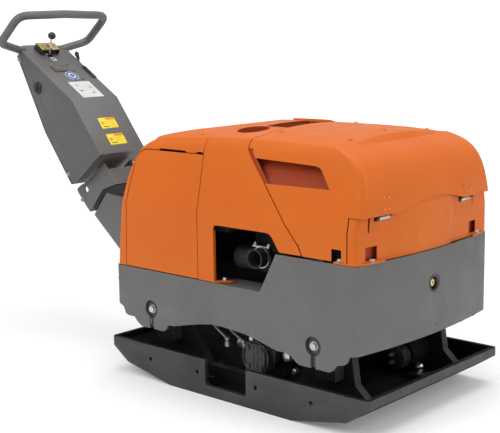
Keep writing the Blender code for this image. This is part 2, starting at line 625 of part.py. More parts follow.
def front_panel():
    panel = cover_shell("front_panel", 0.0135)
    right = [(-0.400, 0.4655), (-0.400, 0.5880), (-0.300, 0.5880), (-0.300, 0.6050), (-0.236, 0.6050),
             (-0.236, 0.5815), (-0.183, 0.5815), (-0.183, 0.6250)]
    zone = right + [(-y, z) for y, z in reversed(right)]
    keep_inside(panel, prism("panel_zone", zone, 0.434, 0.600, "X", "orange_paint"))
    for name, side in (("right", -1), ("left", 1)):
        foot = [(0.3860, side * 0.3255), (0.3860, side * 0.300), (0.4300, side * 0.235), (0.4720, side * 0.235),
                (0.4620, side * 0.285), (0.4520, side * 0.310), (0.4300, side * 0.3255)]
        fuse(panel, prism("panel_foot_" + name, foot, 0.4645, 0.4685, "Z", "orange_paint"))
        inner, outer = (-0.243, -0.290) if side < 0 else (0.213, 0.252)
        cut(panel, box("panel_pocket_" + name, (0.430, inner, 0.4740), (0.500, outer, 0.5100), "orange_paint"))
        cut(panel, box("panel_hinge_gap_" + name, (0.430, side * 0.188, 0.5700), (0.500, side * 0.226, 0.6000),
                       "orange_paint"))
        fuse(panel, flange_bolt("flange_bolt_" + name, (0.397, side * 0.314, 0.4680)))
        hood_hinge("hood_hinge_" + name, side)


def flange_bolt(name, foot):
    profile = [(0, 0.011), (0.0030, 0.011), (0.0031, 0.008), (0.010, 0.008)]
    return turned(name, foot, (0, 0, 1), profile, 6, "bright_steel")


def hood_hinge(name, side):
    """A U bracket behind the front panel with its hinge pin."""
    x, _, z = HOOD_HINGE
    pin = rod(name, (x, side * 0.188, z), (x, side * 0.226, z), 0.004, 12, "bright_steel")
    fuse(pin, box(name + "_back", (0.4460, side * 0.206, 0.5300), (0.4520, side * 0.224, 0.5860), "bright_steel"))
    fuse(pin, box(name + "_ear", (0.4480, side * 0.206, 0.5740), (0.4615, side * 0.2105, 0.5868), "bright_steel"))


# ---------------------------------------------------------------- guide handle
def facet(direction):
    """A frame on a console facet: x along it from the bend, y across, z outwards."""
    along = Vector(direction)
    normal = Vector((-along.z, 0, along.x))
    if normal.z < 0:
        normal = -normal
    return Matrix.Translation(Vector(BEND)) @ Matrix((
        (along.x, 0, normal.x, 0), (along.y, 1, normal.y, 0), (along.z, 0, normal.z, 0), (0, 0, 0, 1)))


def swing_arm():
    x, _, z = HANDLE_PIVOT
    outline = [(-0.8290, 0.5112), (-0.8860, 0.4412), (-0.8990, 0.4235), (-0.7640, 0.3115), (-0.6250, 0.2240)]
    outline += arc((x, z), 0.040, 235, 395, 8) + [(-0.600, 0.3900), (-0.6800, 0.4550), (-0.7430, 0.5030)]
    arm = prism("swing_arm", outline, -0.056, 0.056, "Y", "grey_paint")
    hollow = [(-0.8200, 0.4980), (-0.8750, 0.4300), (-0.9300, 0.3800), (-0.7640, 0.2500), (-0.6500, 0.1800),
              (-0.5950, 0.2600), (-0.5950, 0.3720), (-0.6800, 0.4430), (-0.7430, 0.4900)]
    cut(arm, prism("arm_hollow", hollow, -0.050, 0.050, "Y", "grey_paint"))
    cut(arm, rod("arm_bore", (x, -0.1, z), (x, 0.1, z), 0.0125, 16, "grey_paint"))
    pivot(arm, HANDLE_PIVOT)
    outline = [(-0.8979, 0.4504), (-0.8866, 0.4418), (-0.8296, 0.5118), (-0.7480, 0.5045), (-0.7745, 0.5430),
               (-0.8400, 0.5200)]
    pad = prism("rubber_damper", outline, -0.060, 0.060, "Y", "black_rubber")
    pivot(pad, HANDLE_PIVOT)


def arm_channel():
    outline = [(-0.8260, 0.6170), (-0.7720, 0.5446), (-0.8405, 0.5205), (-0.8982, 0.4508), (-0.9120, 0.4340),
               (-0.9250, 0.4460), (-0.9760, 0.5000), (-0.9800, 0.5080), (-0.9740, 0.5160), (-0.9560, 0.5275),
               (-0.9230, 0.5425)]
    channel = prism("arm_channel", outline, -ARM_HALF_WIDTH, ARM_HALF_WIDTH, "Y", "grey_paint")
    hollow = [(-0.8300, 0.6300), (-0.7830, 0.5490), (-0.8420, 0.5280), (-0.9000, 0.4580), (-0.9300, 0.4200),
              (-1.0200, 0.5000), (-0.9700, 0.5600)]
    cut(channel, prism("channel_hollow", hollow, -0.058, 0.058, "Y", "grey_paint"))
    cut(channel, rod("channel_bore", (-0.927, -0.1, 0.513), (-0.927, 0.1, 0.513), 0.010, 14, "grey_paint"))
    pivot(channel, HANDLE_PIVOT)


CONSOLE_OUTLINE = [
    (-1.2370, 0.9880), (-1.0895, 0.7148), (-0.9530, 0.5385), (-0.9230, 0.5520), (-0.7970, 0.6510),
    (-0.9380, 0.8320), (-1.2130, 1.0005), (-1.2240, 1.0050),
]
CONSOLE_HOLLOW = [
    (-1.2420, 0.9840), (-1.1000, 0.7120), (-0.9630, 0.5330), (-0.9240, 0.5558), (-0.8012, 0.6516),
    (-0.9395, 0.8290), (-1.2110, 0.9960),
]


def console():
    half = CONSOLE_HALF_WIDTH
    shell = prism("console_box", CONSOLE_OUTLINE, -half, half, "Y", "grey_paint")
    inside = half - CONSOLE_SHEET
    cut(shell, prism("console_hollow", CONSOLE_HOLLOW, -inside, inside, "Y", "grey_paint"))
    flange = [(-1.2130, 1.0003), (-1.2467, 1.0211), (-1.2505, 1.0130), (-1.2505, 0.9920), (-1.2450, 0.9875),
              (-1.2300, 0.9875)]
    fuse(shell, prism("rear_flange", flange, -0.078, 0.078, "Y", "grey_paint"))
    for side in (-1, 1):
        seat, corner = Vector(LOOP_SEAT), Vector(LOOP_CORNER)
        ends = [Vector((p.x, side * -p.y, p.z)) for p in (seat.lerp(corner, -0.004), seat.lerp(corner, 0.5))]
        cut(shell, pipe(f"loop_seat_{side}", ends, LOOP_RADIUS + 0.0006, 12, "grey_paint"))
    upper = facet(UPPER_DIR)
    cut(shell, box("lever_slot", (0.270, -0.012, -0.02), (0.325, 0.012, 0.02), "grey_paint", upper))
    cut(shell, rod("button_hole", (-1.128, -0.12, 0.870), (-1.128, -0.09, 0.870), 0.0110, 16, "grey_paint"))
    pivot(shell, HANDLE_PIVOT)
    edge = [(-1.2390, 0.9855), (-1.0925, 0.7140), (-0.9553, 0.5362)]
    shift = Vector((-0.0045, -0.0026))
    back = [(x + shift.x, z + shift.y) for x, z in edge]
    cover = prism("console_rear_cover", edge + back[::-1], -half, half, "Y", "grey_paint")
    for i, (x, z) in enumerate(((-1.2290, 0.966), (-1.1120, 0.749), (-0.9700, 0.555))):
        for side in (-1, 1):
            head = (x - 0.0040, side * 0.088, z - 0.0023)
            fuse(cover, turned(f"cover_screw_{i}_{side}", head, (-0.866, 0, -0.5),
                               [(0, 0.006), (0.007, 0.006)], 8, "grey_paint"))
    pivot(cover, HANDLE_PIVOT)


def handle_loop():
    """A bent tube whose two ends are welded to the sides of the console's rear flange."""
    seat, low = Vector(LOOP_SEAT), Vector(LOOP_CORNER)
    high, top = Vector((-1.0920, -0.200, 1.1260)), Vector((-1.0920, 0.0, 1.1310))
    half = rounded_path([seat, low, low.lerp(high, 0.5)], 0.026, 4)[:-1]
    half += rounded_path([low.lerp(high, 0.5), high, top], 0.040, 4)
    path = half + [Vector((p.x, -p.y, p.z)) for p in reversed(half[:-1])]
    loop = pipe("handle_loop", path, LOOP_RADIUS, 12, "black_plastic")
    pivot(loop, HANDLE_PIVOT)


def controls():
    upper = facet(UPPER_DIR)
    valve = box("control_valve", (0.240, -0.026, -0.034), (0.300, 0.026, -0.0100), "black_plastic", upper)
    pivot(valve, HANDLE_PIVOT)
    bracket = box("lever_bracket", (0.290, -0.040, 0.0003), (0.338, 0.040, 0.0240), "gold_steel", upper)
    cut(bracket, box("bracket_tunnel", (0.280, -0.034, -0.01), (0.350, 0.034, 0.0200), "gold_steel", upper))
    cut(bracket, box("bracket_slot", (0.270, -0.006, -0.01), (0.332, 0.006, 0.0300), "gold_steel", upper))
    pivot(bracket, HANDLE_PIVOT)
    foot = upper @ Vector((0.292, 0, -0.0055))
    knob = Vector((-1.168, 0, 1.054))
    along = (knob - foot).normalized()
    lever = rod("direction_lever", foot, knob - along * 0.012, 0.0035, 8, "bright_steel")
    pivot(lever, foot)
    profile = [(-0.0115, 0.0050), (-0.0110, 0.0080), (-0.0060, 0.0135), (0.0010, 0.0150), (0.0080, 0.0122),
               (0.0130, 0.0060)]
    ball = turned("direction_knob", knob, along, profile, 12, "black_plastic")
    pivot(ball, foot)
    glass = box("display_window", (0.180, -0.049, 0.0003), (0.214, 0.006, 0.0025), "display_glass", upper)
    pivot(glass, HANDLE_PIVOT)
    bracket = box("throttle_bracket", (0.1275, 0.087, 0.0003), (0.204, 0.102, 0.0050), "black_plastic", upper)
    slot = box("throttle_slot", (0.150, 0.0915, 0.0020), (0.220, 0.0975, 0.0200), "black_plastic", upper)
    cut(bracket, slot)
    pivot(bracket, HANDLE_PIVOT)
    foot = Vector((-1.150, 0.1155, 0.940))
    tip = Vector((-1.173, 0.1155, 0.990))
    along = (tip - foot).normalized()
    reach = (tip - foot).length
    lever = turned("throttle_lever", foot, along,
                   [(0, 0.0024), (reach - 0.030, 0.0024), (reach - 0.028, 0.0050), (reach - 0.004, 0.0088),
                    (reach + 0.002, 0.0060)], 10, "black_plastic")
    fuse(lever, rod("throttle_boss", (foot.x, 0.1058, foot.z), (foot.x, 0.1190, foot.z), 0.0070, 12,
                    "black_plastic"))
    pivot(lever, foot)


def push_button():
    x, z = -1.128, 0.870
    bezel = turned("button_bezel", (x, -0.1053, z), (0, -1, 0), [(0, 0.0205), (0.004, 0.0205), (0.006, 0.0175)], 20,
                   "black_plastic")
    cut(bezel, rod("bezel_bore", (x, -0.10, z), (x, -0.12, z), 0.0105, 16, "black_plastic"))
    pivot(bezel, HANDLE_PIVOT)
    cap = turned("push_button", (x, -0.1000, z), (0, -1, 0), [(0, 0.0098), (0.0150, 0.0098), (0.0170, 0.0080)], 16,
                 "black_plastic")
    pivot(cap, (x, -0.105, z))


def build():
    clear_scene()
    make_materials()
    base_plate()
    side_rib("side_rib_right", -1)
    side_rib("side_rib_left", 1)
    exciter()
    eccentric_shaft("drive_shaft", SHAFT_X)
    eccentric_shaft("driven_shaft", -SHAFT_X)
    timing_gears()
    hydraulic_motor()
    hoses()
    oil_plug()
    main_frame()
    isolators()
    drain_plug()
    handle_bracket()
    power_unit()
    fuel_tank()
    exhaust()
    lifting_eye()
    rear_cover()
    front_panel()
    front_hood()
    doors()
    swing_arm()
    arm_channel()
    console()
    handle_loop()
    controls()
    push_button()


build()
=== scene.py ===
"""Looks of the reversible hydraulic plate compactor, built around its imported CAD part."""

import json
import math
from types import SimpleNamespace

import bmesh
import bpy
from mathutils import Matrix, Vector

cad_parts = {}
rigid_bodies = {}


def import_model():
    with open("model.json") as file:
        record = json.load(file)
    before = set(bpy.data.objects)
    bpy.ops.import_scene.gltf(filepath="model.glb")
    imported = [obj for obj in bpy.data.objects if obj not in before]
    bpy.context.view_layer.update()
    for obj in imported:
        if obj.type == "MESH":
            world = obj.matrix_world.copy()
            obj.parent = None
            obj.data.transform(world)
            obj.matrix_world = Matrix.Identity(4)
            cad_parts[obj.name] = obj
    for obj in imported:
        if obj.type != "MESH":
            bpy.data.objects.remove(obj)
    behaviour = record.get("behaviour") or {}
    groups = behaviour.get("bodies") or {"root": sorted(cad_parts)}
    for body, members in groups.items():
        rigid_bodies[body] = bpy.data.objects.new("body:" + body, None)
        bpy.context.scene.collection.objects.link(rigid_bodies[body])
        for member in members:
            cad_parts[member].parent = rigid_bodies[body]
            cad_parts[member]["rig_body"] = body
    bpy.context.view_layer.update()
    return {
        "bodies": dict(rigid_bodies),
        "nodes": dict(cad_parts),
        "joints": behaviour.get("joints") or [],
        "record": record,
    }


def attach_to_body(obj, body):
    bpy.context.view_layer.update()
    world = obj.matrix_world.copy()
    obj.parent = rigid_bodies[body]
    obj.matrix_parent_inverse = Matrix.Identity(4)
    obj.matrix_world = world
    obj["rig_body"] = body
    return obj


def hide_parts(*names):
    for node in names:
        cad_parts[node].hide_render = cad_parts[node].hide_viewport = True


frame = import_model()
NODES = frame["nodes"]


# ---------------------------------------------------------------- materials
BLACK, WHITE = (0, 0, 0), (1, 1, 1)


def tree_of(name):
    made = bpy.data.materials.new(name)
    made.use_nodes = True
    return made, made.node_tree, made.node_tree.nodes["Principled BSDF"]


def node(tree, kind, **values):
    made = tree.nodes.new(kind)
    for key, value in values.items():
        if key in made.inputs:
            made.inputs[key].default_value = value
        else:
            setattr(made, key, value)
    return made


def noise_at(tree, scale, detail=4.0, rough=0.5):
    place = node(tree, "ShaderNodeTexCoord")
    noise = node(tree, "ShaderNodeTexNoise", Scale=scale, Detail=detail, Roughness=rough)
    tree.links.new(place.outputs["Object"], noise.inputs["Vector"])
    return noise.outputs["Fac"]


def ramp_of(tree, factor, stops):
    ramp = tree.nodes.new("ShaderNodeValToRGB")
    band = ramp.color_ramp
    while len(band.elements) < len(stops):
        band.elements.new(0.5)
    for element, (place, colour) in zip(band.elements, stops):
        element.position = place
        element.color = (*colour, 1.0)
    tree.links.new(factor, ramp.inputs["Fac"])
    return ramp.outputs["Color"]


def mixed(tree, factor, one, two):
    mix = tree.nodes.new("ShaderNodeMix")
    mix.data_type = "RGBA"
    for value, slot in ((factor, 0), (one, 6), (two, 7)):
        if isinstance(value, bpy.types.NodeSocket):
            tree.links.new(value, mix.inputs[slot])
        else:
            mix.inputs[slot].default_value = value if slot == 0 else (*value, 1.0)
    return mix.outputs[2]


def worn_and_highlit_edges(tree, width):
    """A mask of convex edges: where a rounded normal leaves the true one."""
    soft = node(tree, "ShaderNodeBevel", samples=4, Radius=width)
    geometry = node(tree, "ShaderNodeNewGeometry")
    dot = node(tree, "ShaderNodeVectorMath", operation="DOT_PRODUCT")
    tree.links.new(soft.outputs["Normal"], dot.inputs[0])
    tree.links.new(geometry.outputs["Normal"], dot.inputs[1])
    return dot.outputs["Value"]


def surface(name, colour, dark, light, rough, grain, bump, metallic=0.0, patch=4.0, speck=None, edge=None,
            coat=0.0, sheen=0.5):
    """A coated or cast surface: patchy colour, varied roughness, fine relief, specks, and convex edges
    lightened partly as wear and partly as a painted edge highlight.
    """
    made, tree, shader = tree_of(name)
    patches = ramp_of(tree, noise_at(tree, patch, 6.0, 0.6), [(0.30, dark), (0.52, colour), (0.78, light)])
    if speck:
        grain_size, start, speck_colour = speck
        dots = ramp_of(tree, noise_at(tree, grain_size, 2.0), [(start, BLACK), (start + 0.04, WHITE)])
        patches = mixed(tree, dots, patches, speck_colour)
    # edge: convex edges take a lighter colour, partly wear and partly a painted edge highlight
    if edge:
        width, wear_and_highlight_colour = edge
        mask = ramp_of(tree, worn_and_highlit_edges(tree, width), [(0.90, WHITE), (0.985, BLACK)])
        breaks = ramp_of(tree, noise_at(tree, 60.0), [(0.42, BLACK), (0.60, WHITE)])
        patches = mixed(tree, mixed(tree, mask, BLACK, breaks), patches, wear_and_highlight_colour)
    tree.links.new(patches, shader.inputs["Base Color"])
    smooth, dull = (rough * 0.82,) * 3, (min(rough * 1.18, 1.0),) * 3
    varied = ramp_of(tree, noise_at(tree, 14.0, 5.0), [(0.3, smooth), (0.7, dull)])
    tree.links.new(varied, shader.inputs["Roughness"])
    shader.inputs["Metallic"].default_value = metallic
    shader.inputs["Specular IOR Level"].default_value = sheen
    shader.inputs["Coat Weight"].default_value = coat
    shader.inputs["Coat Roughness"].default_value = 0.25
    relief = node(tree, "ShaderNodeBump", Strength=bump, Distance=0.001)
    tree.links.new(noise_at(tree, grain, 3.0), relief.inputs["Height"])
    tree.links.new(relief.outputs["Normal"], shader.inputs["Normal"])
    made.diffuse_color = (*colour, 1.0)
    return made


def label(name, colour, dark, light, rough):
    """A smooth printed or moulded surface."""
    return surface(name, colour, dark, light, rough, 300.0, 0.05, patch=20.0)


MAT = {
    "orange": surface("orange_coat", (0.655, 0.132, 0.004), (0.620, 0.118, 0.003), (0.690, 0.150, 0.008),
            0.46, 420.0, 0.10, patch=2.2, edge=(0.0015, (0.76, 0.24, 0.05)), sheen=0.30),
    # a darker copy of the orange paint: painted shade for recesses, gaps and the insides of openings
    "orange_painted_shade": surface("orange_painted_shade", (0.36, 0.045, 0.008), (0.31, 0.036, 0.006), (0.40, 0.058, 0.010),
            0.50, 300.0, 0.12, sheen=0.30),
    "grey": surface("grey_coat", (0.128, 0.126, 0.124), (0.112, 0.110, 0.108), (0.144, 0.142, 0.140),
            0.50, 500.0, 0.16, patch=3.0, speck=(900.0, 0.70, (0.26, 0.26, 0.26)),
            edge=(0.0015, (0.33, 0.33, 0.33))),
    "cast": surface("cast_iron", (0.052, 0.052, 0.054), (0.036, 0.036, 0.038), (0.075, 0.075, 0.076),
            0.58, 240.0, 0.45, metallic=0.35, patch=6.0, speck=(260.0, 0.66, (0.13, 0.125, 0.12)),
            edge=(0.002, (0.17, 0.165, 0.16))),
    "plate": surface("plate_steel", (0.058, 0.058, 0.060), (0.040, 0.040, 0.042), (0.080, 0.080, 0.082),
            0.45, 160.0, 0.30, metallic=0.40, patch=5.0, edge=(0.0025, (0.24, 0.24, 0.24))),
    "steel": surface("bright_steel", (0.60, 0.60, 0.59), (0.44, 0.44, 0.43), (0.74, 0.74, 0.73),
            0.30, 350.0, 0.10, metallic=1.0, patch=30.0),
    "gold": surface("gold_steel", (0.66, 0.50, 0.20), (0.50, 0.36, 0.13), (0.78, 0.64, 0.34),
            0.32, 350.0, 0.10, metallic=1.0, patch=24.0, edge=(0.001, (0.9, 0.8, 0.5))),
    "brass": surface("brass", (0.82, 0.66, 0.30), (0.62, 0.46, 0.18), (0.90, 0.78, 0.44),
            0.30, 350.0, 0.10, metallic=1.0, patch=24.0),
    "rubber": surface("black_rubber", (0.017, 0.017, 0.017), (0.010, 0.010, 0.010), (0.030, 0.030, 0.029),
            0.78, 300.0, 0.35, patch=12.0),
    "plastic": surface("black_plastic", (0.022, 0.022, 0.024), (0.015, 0.015, 0.017), (0.034, 0.034, 0.036),
            0.42, 400.0, 0.22, patch=10.0, edge=(0.001, (0.08, 0.08, 0.08))),
    "tube": surface("loop_coat", (0.125, 0.122, 0.118), (0.095, 0.093, 0.090), (0.160, 0.157, 0.152),
            0.38, 400.0, 0.12, patch=14.0),
    "alloy": surface("engine_alloy", (0.34, 0.35, 0.36), (0.24, 0.25, 0.26), (0.46, 0.47, 0.48),
            0.48, 200.0, 0.35, metallic=0.85, patch=12.0, edge=(0.002, (0.6, 0.6, 0.6))),
    # a lighter orange for the small lip studs: painted highlight
    "stud": label("orange_painted_highlight", (0.80, 0.27, 0.045), (0.74, 0.23, 0.035), (0.86, 0.32, 0.06), 0.40),
    # a darker copy of the grey paint: painted shade on the console's sides, its top faces keep the lit grey
    "console": surface("console_grey_painted_shade", (0.098, 0.097, 0.096), (0.086, 0.085, 0.084), (0.112, 0.111, 0.110),
            0.42, 500.0, 0.16, patch=3.0, speck=(900.0, 0.70, (0.22, 0.22, 0.22)),
            edge=(0.0015, (0.30, 0.30, 0.30))),
    # near-black iron standing for painted shade: the tray's floor and rib faces, and the parts in the tray
    "shaded_iron": surface("iron_painted_shade", (0.009, 0.008, 0.010), (0.006, 0.005, 0.006), (0.014, 0.013, 0.014),
            0.80, 240.0, 0.45, patch=6.0, speck=(260.0, 0.72, (0.024, 0.024, 0.024)), sheen=0.2),
    "soot": surface("sooty_steel", (0.014, 0.013, 0.013), (0.009, 0.009, 0.009), (0.024, 0.023, 0.022),
            0.60, 240.0, 0.35, metallic=0.2, patch=8.0, edge=(0.0015, (0.22, 0.22, 0.22))),
    "glass": surface("display_glass", (0.095, 0.080, 0.066), (0.070, 0.058, 0.048), (0.125, 0.105, 0.088),
            0.18, 90.0, 0.03, patch=40.0, coat=0.5),
    "white": label("label_white", (0.66, 0.66, 0.65), (0.58, 0.58, 0.57), (0.72, 0.72, 0.71), 0.45),
    "yellow": label("label_yellow", (0.85, 0.66, 0.03), (0.78, 0.58, 0.02), (0.90, 0.72, 0.06), 0.40),
    "header": label("label_orange", (0.80, 0.26, 0.02), (0.72, 0.22, 0.02), (0.86, 0.32, 0.04), 0.40),
    "blue": label("label_blue", (0.035, 0.14, 0.42), (0.025, 0.11, 0.36), (0.05, 0.18, 0.48), 0.40),
    "ink": label("label_ink", (0.015, 0.015, 0.015), (0.010, 0.010, 0.010), (0.022, 0.022, 0.022), 0.5),
}


# ---------------------------------------------------------------- building helpers
def circle(count):
    """The directions of a circle's points, as cosine and sine."""
    return [(math.cos(math.tau * i / count), math.sin(math.tau * i / count)) for i in range(count)]


def skin(name, rings, look, closed=False):
    """A skin over rings of points: capped at both ends, or closed from the last ring to the first."""
    mesh = bmesh.new()
    rows = [[mesh.verts.new(point) for point in ring] for ring in rings]
    pairs = list(zip(rows, rows[1:]))
    if closed:
        pairs.append((rows[-1], rows[0]))
    count = len(rings[0])
    for low, high in pairs:
        for i in range(count):
            j = (i + 1) % count
            mesh.faces.new((low[i], low[j], high[j], high[i]))
    if not closed:
        mesh.faces.new(rows[0])
        mesh.faces.new(rows[-1])
    bmesh.ops.recalc_face_normals(mesh, faces=mesh.faces[:])
    data = bpy.data.meshes.new(name)
    mesh.to_mesh(data)
    mesh.free()
    data.materials.append(MAT[look])
    made = bpy.data.objects.new(name, data)
    bpy.context.scene.collection.objects.link(made)
    return made


def prism(name, outline, low, high, axis, look, frame=None):
    """An outline drawn out along an axis."""
    frame = frame or Matrix.Identity(4)
    place = {
        "X": lambda p, d: Vector((d, p[0], p[1])),
        "Y": lambda p, d: Vector((p[0], d, p[1])),
        "Z": lambda p, d: Vector((p[0], p[1], d)),
    }[axis]
    return skin(name, [[frame @ place(p, d) for p in outline] for d in (low, high)], look)


def box(name, low, high, look, frame=None):
    flat = [(low[0], low[1]), (high[0], low[1]), (high[0], high[1]), (low[0], high[1])]
    return prism(name, flat, low[2], high[2], "Z", look, frame)


def across(direction):
    direction = Vector(direction).normalized()
    other = Vector((0, 1, 0)) if abs(direction.y) < 0.9 else Vector((0, 0, 1))
    side = direction.cross(other).normalized()
    return side, direction.cross(side)


def turned(name, start, direction, profile, sides, look):
    """A turned piece: its profile is pairs of the distance along the axis and the radius."""
    direction = Vector(direction).normalized()
    side, up = across(direction)
    rings = []
    for along, radius in profile:
        centre = Vector(start) + direction * along
        angles = [math.tau * (i + 0.5) / sides for i in range(sides)]
        rings.append([centre + radius * (side * math.cos(a) + up * math.sin(a)) for a in angles])
    made = skin(name, rings, look)
    soften(made, 35)
    return made


def rod(name, start, end, radius, sides, look):
    span = Vector(end) - Vector(start)
    length = span.length
    rim = min(radius * 0.2, length * 0.2)
    profile = [(0, radius - rim), (rim, radius), (length - rim, radius), (length, radius - rim)]
    return turned(name, start, span, profile, sides, look)


def rounded_path(points, radius, steps):
    """A path whose corners are curves."""
    points = [Vector(point) for point in points]
    path = [points[0]]
    for before, corner, after in zip(points, points[1:], points[2:]):
        one = corner + (before - corner).normalized() * radius
        two = corner + (after - corner).normalized() * radius
        for i in range(steps + 1):
            t = i / steps
            path.append(one.lerp(corner, t).lerp(corner.lerp(two, t), t))
    path.append(points[-1])
    return path


def pipe(name, path, radius, sides, look):
    """A round bar along a path."""
    path = [Vector(point) for point in path]
    headings = [(b - a).normalized() for a, b in zip(path, path[1:])]
    side, _ = across(headings[0])
    rings = []
    for i, centre in enumerate(path):
        heading = (headings[max(i - 1, 0)] + headings[min(i, len(headings) - 1)]).normalized()
        side = (side - heading * side.dot(heading)).normalized()
        up = heading.cross(side)
        angles = [math.tau * k / sides for k in range(sides)]
        rings.append([centre + radius * (side * math.cos(a) + up * math.sin(a)) for a in angles])
    made = skin(name, rings, look)
    soften(made, 50)
    return made


def soften(obj, degrees):
    obj.data.shade_smooth()
    obj.data.set_sharp_from_angle(angle=math.radians(degrees))


def bake(obj):
    """Applies the modifiers."""
    graph = bpy.context.evaluated_depsgraph_get()
    data = bpy.data.meshes.new_from_object(obj.evaluated_get(graph))
    obj.modifiers.clear()
    obj.data = data
    return obj


def combine(obj, operation, tools):
    for tool in tools:
        step = obj.modifiers.new(tool.name, "BOOLEAN")
        step.operation = operation
        step.solver = "EXACT"
        step.object = tool
    bake(obj)
    for tool in tools:
        bpy.data.objects.remove(tool, do_unlink=True)
    return obj


def cut(obj, *tools):
    return combine(obj, "DIFFERENCE", tools)


def fuse(obj, *tools):
    return combine(obj, "UNION", tools)


def keep_inside(obj, tool):
    return combine(obj, "INTERSECT", [tool])


def round_edges(obj, width, segments=2, degrees=35, sharp=30):
    step = obj.modifiers.new("edges", "BEVEL")
    step.width = width
    step.segments = segments
    step.limit_method = "ANGLE"
    step.angle_limit = math.radians(degrees)
    step.use_clamp_overlap = True
    bake(obj)
    soften(obj, sharp)
    return obj


def attach(obj, body, *nodes):
    """Hangs a piece on its body and lets it stand for CAD nodes."""
    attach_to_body(obj, body)
    if nodes:
        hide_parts(*nodes)
    return obj


def place_all(body, *parts):
    for part in parts:
        attach(part, body)


def repaint(obj, look, chosen):
    """Gives the chosen faces of a piece a second material."""
    obj.data.materials.append(MAT[look])
    place = obj.matrix_world
    for face in obj.data.polygons:
        spot_on = SimpleNamespace(center=place @ face.center, normal=place.to_3x3() @ face.normal)
        if chosen(spot_on):
            face.material_index = len(obj.data.materials) - 1


def refined(name, look, width):
    """A copy of a CAD node with its flat faces merged and its edges rounded."""
    source = NODES[name]
    data = source.data.copy()
    made = bpy.data.objects.new(name + "_piece", data)
    bpy.context.scene.collection.objects.link(made)
    mesh = bmesh.new()
    mesh.from_mesh(data)
    bmesh.ops.remove_doubles(mesh, verts=mesh.verts[:], dist=0.00001)
    bmesh.ops.dissolve_limit(mesh, angle_limit=math.radians(2), verts=mesh.verts[:], edges=mesh.edges[:])
    mesh.to_mesh(data)
    mesh.free()
    data.materials.clear()
    data.materials.append(MAT[look])
    for polygon in data.polygons:
        polygon.material_index = 0
    if width:
        round_edges(made, width)
    else:
        soften(made, 35)
    attach(made, source["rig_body"], name)
    return made


def arc(centre, radius, start, end, steps):
    angles = [math.radians(start + (end - start) * i / steps) for i in range(steps + 1)]
    return [(centre[0] + radius * math.cos(a), centre[1] + radius * math.sin(a)) for a in angles]


def spread(low, high, count):
    return [low + (high - low) * i / count for i in range(1, count)]


def rounded_outline(rear, front, half, radius, bulge, across_at, steps=8, side_steps=8):
    """A plan outline: rounded rectangle whose front side bows outwards."""
    stations = spread(rear + radius, front - radius, side_steps)
    widths = across_at or spread(-half + radius, half - radius, 14)
    corners = [
        arc((rear + radius, -half + radius), radius, 180, 270, steps),
        [(x, -half) for x in stations],
        arc((front - radius, -half + radius), radius, 270, 360, steps),
        [(front, y) for y in widths],
        arc((front - radius, half - radius), radius, 0, 90, steps),
        [(x, half) for x in reversed(stations)],
        arc((rear + radius, half - radius), radius, 90, 180, steps),
    ]
    outline = []
    for x, y in [point for corner in corners for point in corner]:
        reach = max(0.0, (x - front + radius) / radius) if x > front - radius else 0.0
        outline.append((x + bulge * reach * (1 - (y / half) ** 2), y))
    return outline


# ---------------------------------------------------------------- covers
COVER_WALL = 0.003
COVER_BULGE = 0.015
COVER_TOP = 0.793
SHEET_EDGE = 0.0007  # rounding of the covers' cut edges
FAR = 0.40  # a y beyond either side of the machine, for cutters
PANEL_STEP = 0.0135  # how far the front panel stands behind the hood's lip
RELIEF = 0.008  # height of the front panel's plateau
FOOT_TOP = 0.4702  # what the front panel's bolts stand on
COVER_LEVELS = [
    (0.3515, -0.4690, 0.4730, 0.3280, 0.016),
    (0.4500, -0.4595, 0.4730, 0.3280, 0.016),
    (0.5485, -0.4460, 0.4730, 0.3280, 0.016),
    (0.6000, -0.4380, 0.4740, 0.3175, 0.016),
    (0.6500, -0.4290, 0.4690, 0.3073, 0.016),
    (0.6920, -0.4155, 0.4575, 0.2990, 0.016),
    (0.7220, -0.3990, 0.4380, 0.2925, 0.015),
    (0.7420, -0.3810, 0.4120, 0.2870, 0.014),
    (0.7550, -0.3610, 0.3840, 0.2800, 0.013),
]
RIDGE = (0.7660, -0.340, 0.352, 0.2690, 0.012)
FILLER = (-0.034, -0.163)


def smooth_levels(levels):
    """The listed levels with a smooth curve through them, in three steps from one to the next."""
    parts = 3
    out = []
    for i in range(len(levels) - 1):
        a = levels[max(i - 1, 0)]
        b, c = levels[i], levels[i + 1]
        d = levels[min(i + 2, len(levels) - 1)]
        for k in range(parts):
            t = k / parts
            out.append(tuple(0.5 * (2 * q + (r - p) * t + (2 * p - 5 * q + 4 * r - s) * t * t
                                    + (3 * q - p - 3 * r + s) * t ** 3) for p, q, r, s in zip(a, b, c, d)))
    return out + [levels[-1]]


def rear_fall(x):
    """How far the covers' top has dropped towards the rear."""
    return 0.019 * (max(-x, 0.0) / 0.340) ** 1.5


def crown(x, y, inset):
    """The height of the domed top."""
    front = 0.010 * (max(x - 0.010, 0.0) / 0.352) ** 6
    share = 0.4 + 0.6 * min(1.0, abs(y) / RIDGE[3]) ** 4
    return COVER_TOP - inset - 0.342 * y * y - front - share * rear_fall(x)


